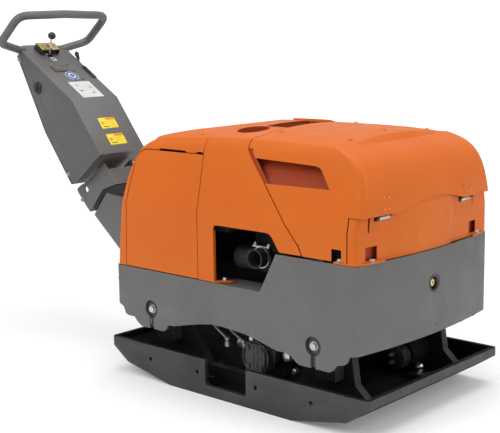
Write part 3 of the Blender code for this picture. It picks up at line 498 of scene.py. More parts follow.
def cover_rings(inset, front_step=0.0, across_at=None):
    """The covers' sections from the foot up, then the domed top from its edge inwards."""
    low = COVER_LEVELS[:3]
    high = smooth_levels(COVER_LEVELS[3:] + [RIDGE])
    rings = []
    for z, rear, front, half, radius in low + high[:-1]:
        ring = rounded_outline(rear + inset, front - front_step - inset, half - inset, radius - inset,
                               COVER_BULGE, across_at)
        drop = max(z - 0.600, 0.0) / 0.166
        rings.append([(x, y, z - (inset if z > 0.70 else 0) - drop * rear_fall(x)) for x, y in ring])
    _, rear, front, half, radius = RIDGE
    ridge = rounded_outline(rear + inset, front - front_step - inset, half - inset, radius - inset,
                            COVER_BULGE / 2, across_at)
    for share in (1.0, 0.97, 0.90, 0.75, 0.55, 0.35, 0.15):
        ring = [(0.010 + share * (x - 0.010), share * y) for x, y in ridge]
        drop = 0.0012 if share == 1.0 else 0.0
        rings.append([(x, y, crown(x, y, inset) - drop) for x, y in ring])
    return rings


def cover_shell(name, inset=0.0, wall=COVER_WALL, look="orange"):
    """The covers in one piece, from which each cover is cut."""
    return skin(name, cover_rings(inset + wall)[::-1] + cover_rings(inset), look)


def within_covers(obj, inset=COVER_WALL + 0.0006):
    """Trims a piece to the space inside the covers."""
    return keep_inside(obj, skin("cover_space", cover_rings(inset), "orange"))


def door_outline(grow):
    rear = [(-0.4250, 0.3525), (-0.4190, 0.463), (-0.4175, 0.548), (-0.4110, 0.603), (-0.4030, 0.650)]
    rear = [(x - grow, z) for x, z in rear]
    rear[0] = (rear[0][0], 0.3525 - grow)
    corner = arc((-0.353, 0.6645), 0.050 + grow, 172, 90, 10)
    return rear + corner + [(-0.1145 + grow, 0.7145 + grow), (-0.1145 + grow, 0.3525 - grow)]


def both_sides(name, outline, low=0.20):
    """Cutters through both side walls."""
    return [prism(f"{name}_{side}", outline, side * low, side * FAR, "Y", "orange") for side in (-1, 1)]


SEAM_REAR = [(0.0535, 0.900), (0.0535, 0.789), (0.0525, 0.760), (0.0540, 0.7440), (0.0630, 0.7290),
             (0.2655, 0.4962), (0.2775, 0.4715)]
SEAM_FRONT = [(0.0575, 0.900), (0.0575, 0.790), (0.0565, 0.760), (0.0580, 0.7450), (0.0670, 0.7300),
              (0.2700, 0.4985), (0.2826, 0.4710)]
EXHAUST_OPENING = [(0.2010, 0.4715), (0.1760, 0.5080), (0.1690, 0.5150), (0.1620, 0.5190), (0.1540, 0.5205),
                   (-0.0360, 0.5205), (-0.0425, 0.5188), (-0.0470, 0.5145), (-0.0485, 0.5085),
                   (-0.0485, 0.3515)]
POCKET = (-0.030, 0.080, -0.112, 0.085)


def build_rear_cover():
    cover = cover_shell("rear_cover_piece")
    zone = SEAM_REAR + EXHAUST_OPENING + [(-0.600, 0.3515), (-0.600, 0.900)]
    keep_inside(cover, prism("zone", zone, -FAR, FAR, "Y", "orange"))
    tools = both_sides("door", door_outline(0.003))
    for slot, slot_rear, slot_front in (("long", -0.303, -0.187), ("short", -0.144, -0.117)):
        tools += both_sides(slot, [(slot_rear, 0.709), (slot_rear, 0.7215), (slot_front, 0.7215),
                                   (slot_front, 0.709)])
    tools.append(rod("filler", (*FILLER, 0.70), (*FILLER, 0.85), 0.0485, 48, "orange"))
    rear, front, right, left = POCKET
    tools.append(box("pocket", (rear, right, 0.70), (front, left, 0.85), "orange"))
    cut(cover, *tools)
    groove = [(-0.1150, 0.7165), (-0.1126, 0.7165), (-0.1126, 0.7620), (-0.1150, 0.7620)]
    cut(cover, *both_sides("groove", groove, 0.2725))
    round_edges(cover, SHEET_EDGE, 2, 40, 9)
    attach(cover, "chassis", "rear_cover")


SEAM_NOTCH = [(0.2600, 0.5020), (0.2690, 0.5020), (0.2705, 0.4990), (0.2778, 0.4600), (0.2600, 0.4600)]


def build_hood():
    hood = cover_shell("front_hood_piece")
    zone = SEAM_FRONT + [(0.4300, 0.4710), (0.4300, 0.5900), (0.600, 0.5900), (0.600, 0.900)]
    keep_inside(hood, prism("zone", zone, -FAR, FAR, "Y", "orange"))
    vent = [(0.0400, 0.7440), (0.0730, 0.7440), (0.0800, 0.7300), (0.0880, 0.7195), (0.302, 0.7130),
            (0.318, 0.7090), (0.328, 0.7000), (0.3450, 0.6750), (0.359, 0.6550), (0.1375, 0.6530),
            (0.040, 0.6530)]
    notch = [(0.380, 0.450), (0.380, 0.504), (0.4135, 0.504), (0.4135, 0.450)]
    half_arch = [(0.175, 0.560), (0.160, 0.5900), (0.140, 0.5945), (0.120, 0.6000), (0.100, 0.6045),
                 (0.070, 0.6100), (0.035, 0.6145)]
    arch = [(-y, z) for y, z in half_arch] + [(0.000, 0.6165)] + half_arch[::-1]
    cut(hood, *both_sides("vent", vent), *both_sides("notch", notch),
        prism("arch", arch, 0.44, 0.60, "X", "orange"))
    cut(hood, prism("foot_notch", SEAM_NOTCH, -FAR, FAR, "Y", "orange"))
    round_edges(hood, SHEET_EDGE, 2, 40, 9)
    attach(hood, "hood", "front_hood")
    for side in (-1, 1):
        # a black sheet behind each notch: painted shade
        back = [(0.2640, 0.5030), (0.2720, 0.5030), (0.2800, 0.4712), (0.2712, 0.4712)]
        attach(prism(f"notch_back_{side}", back, side * 0.3228, side * 0.3240, "Y", "ink"), "hood")


def build_doors():
    for side, body in ((-1, "right_door"), (1, "left_door")):
        door = cover_shell(body + "_piece")
        keep_inside(door, prism("zone", door_outline(0.0), side * 0.25, side * FAR, "Y", "orange"))
        round_edges(door, SHEET_EDGE, 2, 40, 9)
        attach(door, body, body)


def panel_relief(y):
    """How far the front panel's face stands out: a shallow plateau with sloping flanks."""
    right_flank, left_flank = (y + 0.200) / 0.130, (0.1185 - y) / 0.037
    return RELIEF * max(0.0, min(1.0, right_flank, left_flank))


def panel_sheet():
    stations = [-0.290, -0.260, -0.230, -0.200, -0.199, -0.155, -0.110, -0.071, -0.070, -0.035, 0.0, 0.040,
                0.0805, 0.0815, 0.1185, 0.1195, 0.150, 0.180, 0.210, 0.240, 0.270, 0.295]
    shells = []
    for inset in (COVER_WALL, 0.0):
        rings = cover_rings(inset, PANEL_STEP, stations)
        shells.append([[(x + (panel_relief(y) if x > 0.43 else 0.0), y, z) for x, y, z in ring]
                       for ring in rings])
    panel = skin("front_panel_piece", shells[0][::-1] + shells[1], "orange")
    right = [(-FAR, 0.4655), (-FAR, 0.5880), (-0.300, 0.5880), (-0.300, 0.6050), (-0.236, 0.6050),
             (-0.236, 0.5815), (-0.183, 0.5815), (-0.183, 0.6250)]
    zone = right + [(-y, z) for y, z in reversed(right)]
    return keep_inside(panel, prism("zone", zone, 0.434, 0.600, "X", "orange"))


def build_front_panel():
    panel = panel_sheet()
    rear, front = 0.430, 0.500
    windows = [(-0.290, -0.243, 0.4740, 0.5100), (0.213, 0.252, 0.4740, 0.5100),
               (-0.2560, -0.1915, 0.5755, 0.6000), (0.1480, 0.2090, 0.5755, 0.6000)]
    tools = [box("window", (rear, right, low), (front, left, high), "orange")
             for right, left, low, high in windows]
    for slit in ([(-0.2800, 0.5480), (-0.2750, 0.5480), (-0.2710, 0.5900), (-0.2790, 0.5900)],
                 [(0.2285, 0.5560), (0.2315, 0.5560), (0.2325, 0.6050), (0.2280, 0.6050)]):
        tools.append(prism("slit", slit, rear, front, "X", "orange"))
    cut(panel, *tools)
    round_edges(panel, SHEET_EDGE, 2, 40, 1.6)
    attach(panel, "chassis", "front_panel")
    # a darker orange sheet behind the panel's openings: painted shade
    back = box("panel_back", (0.4500, -0.293, 0.4706), (0.4515, 0.293, 0.5990), "orange_painted_shade")
    attach(back, "chassis")
    for side in (-1, 1):
        foot = [(0.3860, side * 0.3270), (0.3860, side * 0.300), (0.4300, side * 0.235),
                (0.4790, side * 0.222), (0.4760, side * 0.250), (0.4690, side * 0.290),
                (0.4600, side * 0.3170), (0.4450, side * 0.3270)]
        base = prism(f"panel_foot_{side}", foot, 0.4648, 0.4700, "Z", "orange")
        attach(round_edges(base, 0.0010, 2, 30, 20), "chassis")
        hex_bolt(f"panel_bolt_{side}", (0.397, side * 0.314, FOOT_TOP), (0, 0, 1), 0.0085, "chassis")
    for y in (-0.262, 0.262):
        hex_bolt(f"panel_front_bolt_{y}", (0.4630, y, FOOT_TOP), (0, 0, 1), 0.0085, "chassis")
    for y in (-0.090, 0.110):
        place = (front_face(y) + panel_relief(y) - PANEL_STEP, y, 0.515)
        rivet(f"panel_rivet_{y}", place, (1, 0, 0), 0.0035, "orange", "chassis")


def front_face(y):
    """The x of the closed hood's front at a height below its roll-over."""
    return 0.4730 + COVER_BULGE * (1 - (y / 0.328) ** 2)


def hex_bolt(name, foot, direction, radius, body, look="steel"):
    """A bolt head on a washer."""
    rim = radius * 1.30
    washer = turned(name + "_washer", foot, direction, [(0, rim), (0.0012, rim), (0.0016, radius * 1.22)], 20,
                    look)
    head = turned(name + "_head", foot, direction,
                  [(0.001, radius), (0.0060, radius), (0.0072, radius * 0.86)], 6, look)
    place_all(body, washer, head)


def rivet(name, foot, direction, radius, look, body):
    dome = turned(name, foot, direction, [(-0.001, radius), (0.0003, radius), (radius * 0.35, radius * 0.80),
                                          (radius * 0.55, radius * 0.35)], 14, look)
    attach(dome, body)


def vent_recess(side):
    """The recess behind a side vent, open to the outside only; its walls are a darker orange that is painted
    shade.
    """
    shade = "orange_painted_shade"
    outline = [(0.3040, 0.6470), (0.3000, 0.6505), (0.2540, 0.7150), (0.2300, 0.7600), (0.2260, 0.7580),
               (0.2500, 0.7130), (0.2960, 0.6470)]
    end = [(0.3050, 0.6490), (0.2500, 0.7200), (0.2300, 0.7600), (0.3000, 0.7600)]
    cup = prism(f"vent_recess_{side}", [(side * y, z) for y, z in outline], 0.0625, 0.3700, "X", shade)
    wall = prism(f"vent_end_{side}", [(side * y, z) for y, z in end], 0.3620, 0.3640, "X", shade)
    cut(cup, box("cup_rear", (0.0, -FAR, 0.60), (0.064, FAR, 0.80), "orange"))
    fuse(cup, wall)
    within_covers(cup)
    soften(cup, 30)
    attach(cup, "hood")


def inner_strip(name):
    """The sheet just inside the covers from which the folded strips are kept, in a darker orange that is
    painted shade.
    """
    return cover_shell(name, inset=0.0042, wall=0.0015, look="orange_painted_shade")


def seam_strip():
    rear, front, right, left = POCKET
    # a darker orange strip behind the seam: painted shade in the gap
    strip = inner_strip("seam_strip")
    zone = [(x - 0.014, z) for x, z in SEAM_REAR] + [(x + 0.010, z) for x, z in reversed(SEAM_FRONT)]
    keep_inside(strip, prism("zone", zone, -FAR, FAR, "Y", "orange"))
    low, high = (rear - 0.02, right - 0.002, 0.70), (front + 0.02, left + 0.002, 0.85)
    cut(strip, box("strip_gap", low, high, "orange"))
    soften(strip, 25)
    attach(strip, "chassis")


def door_ledge(side):
    ledge = inner_strip(f"door_ledge_{side}")
    near, far = side * 0.20, side * FAR
    keep_inside(ledge, prism("zone", door_outline(0.012), near, far, "Y", "orange"))
    tools = [prism("hole", door_outline(-0.010), near, far, "Y", "orange"),
             box("foot", (-0.6, -FAR, 0.30), (0.1, FAR, 0.372), "orange")]
    for rear, front in ((-0.303, -0.187), (-0.144, -0.1171)):
        slot = [(rear, 0.705), (rear, 0.730), (front, 0.730), (front, 0.705)]
        tools.append(prism("slot", slot, near, far, "Y", "orange"))
    cut(ledge, *tools)
    soften(ledge, 25)
    attach(ledge, "chassis")


def filler_sleeve():
    """The sleeve down from the filler opening, in a darker orange that is painted shade."""
    x, y = FILLER
    section = ((0.0500, 0.7430), (0.0500, 0.8000), (0.0484, 0.8000), (0.0484, 0.7430))
    rings = [[(x + r * cosine, y + r * sine, z) for cosine, sine in circle(48)] for r, z in section]
    sleeve = skin("filler_sleeve", rings, "orange_painted_shade", True)
    within_covers(sleeve, 0.0008)
    soften(sleeve, 35)
    attach(sleeve, "chassis")


def pocket_walls_and_lip():
    """The walls of the lifting pocket, in a darker orange that is painted shade, and the raised lip on its
    far side.
    """
    rear, front, right, left = POCKET
    walls = box("pocket_walls", (rear - 0.0015, right - 0.0015, 0.7420), (0.0525, left + 0.0015, 0.8000),
                "orange_painted_shade")
    cut(walls, box("inside", (rear, right, 0.70), (0.09, left, 0.85), "orange"))
    within_covers(walls, 0.0008)
    attach(walls, "chassis")
    section = ((-0.001, -0.003), (0.0005, 0.0055), (0.004, 0.0065), (0.030, 0.0020), (0.034, -0.003))
    lip = skin("pocket_lip", [[(x, left + out, crown(x, left + out, 0.0) + rise) for out, rise in section]
                              for x in (rear - 0.060, rear - 0.040, rear, 0.0250, 0.0520)], "orange")
    attach(round_edges(lip, 0.0010, 2, 20, 25), "chassis")


def hood_hinge_pin(low, high):
    """A ribbed knuckle with a dark sleeve on its right end."""
    x, z = HINGE_PIN
    attach(rod(f"hinge_knuckle_{high}", (x, low, z), (x, high, z), 0.0064, 20, "steel"), "chassis")
    for i in range(4):
        y = low + 0.006 + 0.011 * i
        ring = rod(f"hinge_ring_{high}_{i}", (x, y - 0.0018, z), (x, y + 0.0018, z), 0.0074, 20, "steel")
        attach(ring, "chassis")
    sleeve = rod(f"hinge_sleeve_{high}", (x, low - 0.0125, z), (x, low - 0.0005, z), 0.0068, 20, "plastic")
    # a black disc in the sleeve's end: painted shade for its bore
    bore = rod(f"hinge_bore_shade_{high}", (x, low - 0.0130, z), (x, low - 0.0120, z), 0.0045, 20, "ink")
    place_all("chassis", sleeve, bore)


def build_cover_details():
    for side in (-1, 1):
        vent_recess(side)
    seam_strip()
    for side in (-1, 1):
        door_ledge(side)
    filler_sleeve()
    pocket_walls_and_lip()
    for x, y, body in ((0.336, -0.187, "hood"), (0.324, -0.010, "hood"), (0.085, -0.1765, "hood"),
                       (-0.165, -0.241, "chassis"), (0.336, 0.187, "hood"), (0.085, 0.1765, "hood"),
                       (-0.165, 0.241, "chassis")):
        rivet(f"top_screw_{x}_{y}", (x, y, crown(x, y, 0.0)), (0, 0.6 * y, 1), 0.0065, "orange", body)
    for side, shift in ((-1, 0.012), (1, -0.026)):
        for y, z, rise in ((0.200, 0.606, 0.0013), (0.218, 0.606, 0.0013), (0.200, 0.636, -0.0009),
                           (0.218, 0.636, -0.0009)):
            place = side * (y + shift)
            foot = (front_face(place) + rise, place, z)
            # the lip studs are painted lighter: painted highlight
            rivet(f"lip_stud_{side}_{y}_{z}", foot, (1, 0, 0.1), 0.0030, "stud", "hood")
    hood_hinge_pin(-0.2400, -0.1950)
    hood_hinge_pin(0.1625, 0.2060)
    section = ((0.1500, -0.002), (0.1510, 0.0004), (0.1535, 0.0004), (0.1545, -0.002))
    crease = skin("hood_crease", [[(front_face(y) + depth, y, z) for y, depth in section]
                                  for z in (0.6000, 0.6320)], "orange")
    attach(round_edges(crease, 0.0003, 2, 20, 30), "hood")


# ---------------------------------------------------------------- base and frame details
MOTOR = (0.065, -0.2573, 0.1357)
HINGE_PIN = (0.4685, 0.5825)


def motor_details():
    """The cast end of the hydraulic motor: rim, face plate, bolts, ribs and flange."""
    x, y, z = MOTOR
    right = (0, -1, 0)
    rim = turned("motor_rim", (x, y - 0.0190, z), right,
                 [(0, 0.0490), (0.0005, 0.0505), (0.0040, 0.0505), (0.0046, 0.0497), (0.0046, 0.0478),
                  (0.0030, 0.0470)], 56, "cast")
    # a near-black ring inside the rim: painted shade
    shade = turned("motor_rim_shade", (x, y - 0.0218, z), right, [(0, 0.0472), (0.0006, 0.0472)], 48, "shaded_iron")
    face = box("motor_face", (x - 0.0340, y - 0.0262, z - 0.0430), (x + 0.0380, y - 0.0215, z + 0.0430),
               "cast")
    round_edges(face, 0.0025, 3)
    place_all("base", rim, shade, face)
    for i, (side, rise) in enumerate(((-0.024, 0.028), (0.026, 0.028), (-0.024, -0.028), (0.026, -0.028))):
        place = (x + side, y - 0.0262, z + rise)
        ring = turned(f"motor_bolt_ring_{i}", place, right,
                      [(-0.0005, 0.0102), (0.0004, 0.0102), (0.0006, 0.0094)], 20, "ink")
        head = turned(f"motor_bolt_{i}", place, right,
                      [(0.0, 0.0074), (0.0040, 0.0074), (0.0052, 0.0064)], 18, "cast")
        place_all("base", ring, head)
    for i, shift in enumerate((-0.003, 0.010)):
        rib = box(f"motor_cover_rib_{i}", (x + shift - 0.0014, y - 0.0284, z - 0.039),
                  (x + shift + 0.0014, y - 0.0258, z + 0.039), "plate")
        attach(round_edges(rib, 0.0010), "base")
    flange = turned("motor_flange", (x, y + 0.004, z), right,
                    [(-0.012, 0.0500), (-0.010, 0.0515), (-0.002, 0.0515), (0.0, 0.0495)], 48, "plate")
    attach(flange, "base")


def steel_line(name, path):
    """A bent steel line with an elbow and a nut at its lower end."""
    up = (0, 0, 1)
    points = [Vector(point) + Vector((0.005, 0, 0)) for point in path]
    attach(pipe(name + "_steel_line", rounded_path(points, 0.007, 5), 0.0054, 14, "alloy"), "base")
    nut = turned(name + "_line_nut", points[-1], up,
                 [(-0.006, 0.0080), (-0.005, 0.0090), (0.008, 0.0090), (0.009, 0.0080)], 6, "alloy")
    elbow = turned(name + "_line_elbow", points[-2] - Vector((0, 0, 0.003)), up,
                   [(-0.004, 0.0050), (-0.001, 0.0082), (0.007, 0.0082), (0.010, 0.0050)], 16, "alloy")
    place_all("base", nut, elbow)


def port_fitting(name, place, radius):
    """A hexagon on a round collar, facing right."""
    body = turned(name, place, (0, -1, 0),
                  [(0, radius * 0.9), (0.001, radius), (0.012, radius), (0.013, radius * 0.85)], 6, "steel")
    collar = turned(name + "_collar", place, (0, -1, 0),
                    [(-0.006, radius * 1.1), (-0.0005, radius * 1.1)], 20, "cast")
    place_all("base", body, collar)


def tray_details():
    """What stands in the front tray: a ribbed boot, a drum with two studs, and the oil plug."""
    x, middle, left = 0.297, 0.095, (0, 1, 0)
    profile = []
    for i in range(7):
        profile += [(0.0050 * i, 0.0330), (0.0050 * i + 0.0015, 0.0365), (0.0050 * i + 0.0035, 0.0365)]
    attach(turned("tray_boot", (x, 0.086, middle), left, profile, 40, "plate"), "base")
    drum = turned("tray_drum", (x, 0.121, 0.103), left,
                  [(0.0, 0.034), (0.002, 0.042), (0.005, 0.045), (0.083, 0.045), (0.086, 0.043)], 48, "shaded_iron")
    attach(drum, "base")
    for rise in (-0.012, 0.012):
        z = middle + rise
        stem = rod(f"tray_stud_{rise}", (x, 0.062, z), (x, 0.0865, z), 0.0040, 12, "steel")
        nut = turned(f"tray_nut_{rise}", (x, 0.070, z), left,
                     [(0, 0.0068), (0.001, 0.0076), (0.007, 0.0076), (0.008, 0.0068)], 6, "steel")
        place_all("base", stem, nut)
    radius = 0.0145
    turns = [math.radians(turn) for turn in range(6, 175, 12)]
    ball = [(radius * (1 - math.cos(turn)), radius * math.sin(turn)) for turn in turns]
    attach(turned("oil_plug_ball", (0.357, 0.130, 0.0520), (0, 0, 1), ball, 28, "steel"), "base")
    plate = box("oil_plug_plate", (0.333, 0.106, 0.0430), (0.381, 0.154, 0.0500), "cast")
    attach(round_edges(plate, 0.0015), "base")


def rib_welds():
    for side in (-1, 1):
        for i, x in enumerate((-0.19, 0.19)):
            path = [(x - 0.045, side * 0.2365, 0.0215), (x, side * 0.2370, 0.0200),
                    (x + 0.045, side * 0.2365, 0.0215)]
            attach(pipe(f"rib_weld_{side}_{i}", path, 0.0035, 8, "cast"), "base")


def exciter_bolts():
    """Bolts round both end covers; the right front one leaves the motor free."""
    shaft, _, z = MOTOR
    circle = 0.0775
    for side in (-1, 1):
        for k in range(8):
            angle = math.tau * k / 8
            x = math.copysign(shaft, math.cos(angle) + 1e-6) + circle * math.cos(angle)
            if side < 0 and abs(x - shaft) < 0.052:
                continue
            place = (x, side * 0.2025, z + circle * math.sin(angle))
            hex_bolt(f"exciter_bolt_{side}_{k}", place, (0, side, 0), 0.0055, "base", "shaded_iron")


def build_base_details():
    motor_details()
    steel_line("supply", [(-0.150, -0.231, 0.1900), (-0.1378, -0.233, 0.1820), (-0.0905, -0.236, 0.1561),
                          (-0.0905, -0.236, 0.1373)])
    steel_line("return", [(-0.080, -0.231, 0.1860), (-0.0674, -0.233, 0.1789), (-0.0232, -0.236, 0.1591),
                          (-0.0194, -0.236, 0.1450)])
    port_fitting("port_nut", (0.014, -0.228, 0.1742), 0.0085)
    port_fitting("port_plug", (0.153, -0.235, 0.1460), 0.0150)
    port_fitting("port_stud", (0.186, -0.240, 0.1100), 0.0095)
    tray_details()
    rib_welds()
    exciter_bolts()


def isolator_lobe(name, x, side):
    """The disc and the dark back of a keyhole, and the folded foot of its lobe."""
    near, far = side * 0.3198, side * 0.3206
    disc = turned("keyhole_disc_" + name, (x, near, 0.2275), (0, side, 0),
                  [(0, 0.0272), (0.0006, 0.0272), (0.0008, 0.0268)], 40, "plate")
    back = box("keyhole_back_" + name, (x - 0.0088, min(near, far), 0.1680),
               (x + 0.0088, max(near, far), 0.2030), "plate")
    place_all("chassis", disc, back)
    fold = [(x - 0.0500, 0.1675), (x + 0.0500, 0.1675), (x + 0.0500, 0.1700), (x - 0.0500, 0.1700)]
    lobe = prism("lobe_fold_" + name, fold, side * 0.2960, side * 0.3205, "Y", "grey")
    cut(lobe, box("gap", (x - 0.009, -FAR, 0.1), (x + 0.009, FAR, 0.2), "grey"))
    attach(round_edges(lobe, 0.0008), "chassis")


def front_port():
    """The rim of the round port in the frame's front, and a black disc under it that is painted shade for a
    small hole.
    """
    y, z = 0.0015, 0.3685
    section = ((0.0258, 0.4880), (0.0255, 0.4895), (0.0195, 0.4885), (0.0195, 0.4870))
    rings = [[(x, y + r * cosine, z + r * sine) for cosine, sine in circle(48)] for r, x in section]
    rim = skin("port_rim", rings, "cast", True)
    soften(rim, 40)
    hole = turned("frame_drain_hole_shade", (0.4890, 0.0145, 0.2466), (1, 0, 0),
                  [(-0.001, 0.0028), (0.0002, 0.0028)], 12, "ink")
    place_all("chassis", rim, hole)


def build_frame_details():
    for name, (x, side) in CORNERS.items():
        isolator_lobe(name, x, side)
    ledge = box("frame_ledge", (-0.0480, -0.3200, 0.3455), (0.1250, -0.2400, 0.3485), "grey")
    attach(round_edges(ledge, 0.0008), "chassis")
    foot_outline = [(-0.0520, -0.3270), (-0.0440, -0.3270), (-0.0060, -0.2990), (-0.0060, -0.2850),
                    (-0.0520, -0.2850)]
    foot = prism("exhaust_foot", foot_outline, 0.3500, 0.3545, "Z", "orange")
    attach(round_edges(foot, 0.0010), "chassis")
    hex_bolt("exhaust_foot_bolt", (-0.034, -0.296, 0.3546), (0, 0, 1), 0.0080, "chassis")
    flange = box("opening_flange", (-0.0500, -0.3265, 0.3560), (-0.0486, -0.3175, 0.5040), "orange")
    attach(round_edges(flange, 0.0004), "chassis")
    front_port()
    # a black disc inside the exhaust mouth: painted shade
    mouth = arc((0.090, 0.435), 0.0243, 0, 345, 23)
    attach(prism("exhaust_mouth_shade", mouth, -0.2640, -0.2650, "Y", "ink"), "chassis")
    for x in (0.066, 0.116):
        hex_bolt(f"clamp_bolt_{x}", (x, -0.2735, 0.4682), (0, 0, 1), 0.0050, "chassis")
        stud = rod(f"clamp_stud_{x}", (x, -0.2735, 0.4680), (x, -0.2735, 0.4765), 0.0028, 12, "steel")
        attach(stud, "chassis")


# ---------------------------------------------------------------- guide handle details
BEND = (-0.938, 0.0, 0.832)
UPPER_DIR = (-0.8527, 0.0, 0.5224)
LOWER_DIR = (0.6145, 0.0, -0.7889)


def facet(direction):
    """A frame on a console facet: x along it from the bend, y across, z outwards."""
    along = Vector(direction)
    normal = Vector((-along.z, 0, along.x))
    if normal.z < 0:
        normal = -normal
    return Matrix.Translation(Vector(BEND)) @ Matrix((
        (along.x, 0, normal.x, 0), (along.y, 1, normal.y, 0), (along.z, 0, normal.z, 0), (0, 0, 0, 1)))


def decal(name, frame, low, high, look, lift, radius):
    """A thin rounded label on a console facet."""
    outline = rounded_outline(low[0], high[0], (high[1] - low[1]) / 2, radius, 0.0, [0.0], 4, 1)
    middle = (high[1] + low[1]) / 2
    outline = [(x, y + middle) for x, y in outline]
    attach(prism(name, outline, 0.0001 + lift, 0.0005 + lift, "Z", look, frame), "handle")


def spot(name, frame, place, radius, look, lift, sides):
    """A thin round label on a console facet."""
    start = frame @ Vector((place[0], place[1], 0.0))
    direction = (frame.to_3x3() @ Vector((0, 0, 1))).normalized()
    profile = [(0.0001 + lift, radius), (0.0005 + lift, radius)]
    attach(turned(name, start, direction, profile, sides, look), "handle")


def rating_plate(upper):
    decal("rating_plate", upper, (0.011, -0.0435), (0.111, 0.052), "white", 0.0, 0.002)
    for i, place in enumerate(((0.088, -0.020), (0.060, -0.022), (0.040, 0.030), (0.074, 0.034))):
        spot(f"plate_mark_{i}", upper, place, 0.0055, "ink", 0.0005, 20)
        spot(f"plate_mark_inner_{i}", upper, place, 0.0045, "white", 0.0010, 20)
    for i, (along, y) in enumerate(((0.050, -0.026), (0.036, 0.018))):
        decal(f"plate_bar_{i}", upper, (along, y), (along + 0.004, y + 0.012), "ink", 0.0005, 0.001)


def upper_labels(upper):
    rings = ((0.0265, "white"), (0.0240, "blue"), (0.0160, "white"), (0.0095, "blue"))
    for i, (radius, look) in enumerate(rings):
        spot(f"round_label_{i}", upper, (0.150, 0.004), radius, look, 0.0004 * i, 40)
    decal("small_label", upper, (0.2525, -0.010), (0.2755, 0.010), "white", 0.0, 0.001)
    decal("small_label_mark", upper, (0.2600, -0.0045), (0.2680, 0.0045), "ink", 0.0005, 0.001)
    # black discs where the console has small holes: painted shade
    for i, place in enumerate(((0.221, 0.031), (0.1765, 0.032), (0.1256, 0.037), (0.122, 0.002))):
        spot(f"console_hole_shade_{i}", upper, place, 0.0044, "ink", 0.0006, 14)


def lower_labels(lower):
    """Two plain yellow labels, each with a header, a triangle and a bar."""
    for i, (low, high) in enumerate(((0.0826, 0.1274), (0.1515, 0.1965))):
        decal(f"warning_label_{i}", lower, (low, -0.036), (high, 0.040), "yellow", 0.0, 0.002)
        decal(f"warning_header_{i}", lower, (low + 0.001, -0.002), (low + 0.010, 0.039), "header", 0.0005,
              0.001)
        spot(f"warning_sign_{i}", lower, (low + 0.022, -0.022), 0.0075, "ink", 0.0005, 3)
        spot(f"warning_sign_inner_{i}", lower, (low + 0.022, -0.022), 0.0048, "yellow", 0.0010, 3)
        decal(f"warning_bar_{i}", lower, (low + 0.036, -0.026), (low + 0.0385, -0.002), "ink", 0.0005, 0.0008)


def lever_bracket_details(upper):
    up = (upper.to_3x3() @ Vector((0, 0, 1))).normalized()
    for y in (-0.022, 0.022):
        roller = turned(f"bracket_roller_{y}", upper @ Vector((0.300, y, 0.0008)), up,
                        [(0, 0.0062), (0.001, 0.0070), (0.017, 0.0070), (0.018, 0.0062)], 20, "plastic")
        attach(roller, "handle")
    for y in (-0.030, 0.030):
        hex_bolt(f"bracket_bolt_{y}", upper @ Vector((0.318, y, 0.0240)), up, 0.0040, "handle", "gold")


def build_handle_details():
    upper = facet(UPPER_DIR)
    rating_plate(upper)
    upper_labels(upper)
    lower_labels(facet(LOWER_DIR))
    window = box("window_frame", (0.1775, -0.0515, 0.0002), (0.2165, 0.0085, 0.0014), "plastic", upper)
    cut(window, box("inner", (0.1795, -0.0495, -0.01), (0.2145, 0.0065, 0.01), "plastic", upper))
    attach(window, "handle")
    lever_bracket_details(upper)
    for side in (-1, 1):
        for name, x, y, z, radius in (("console_side_bolt", -1.2268, 0.1052, 0.9693, 0.0062),
                                      ("channel_bolt", -0.950, 0.0642, 0.474, 0.0060),
                                      ("console_foot_bolt", -0.972, 0.1052, 0.5700, 0.0055)):
            hex_bolt(f"{name}_{side}", (x, side * y, z), (0, side, 0), radius, "handle")
    for side in (-1, 1):
        seat, corner = Vector((-1.2353, side * 0.0785, 0.9994)), Vector((-1.2080, side * 0.2000, 1.0300))
        along = (corner - seat).normalized()
        weld = turned(f"loop_weld_{side}", seat + along * 0.004, along,
                      [(0, 0.0152), (0.0015, 0.0166), (0.0040, 0.0166), (0.0055, 0.0150)], 28, "tube")
        attach(weld, "handle")


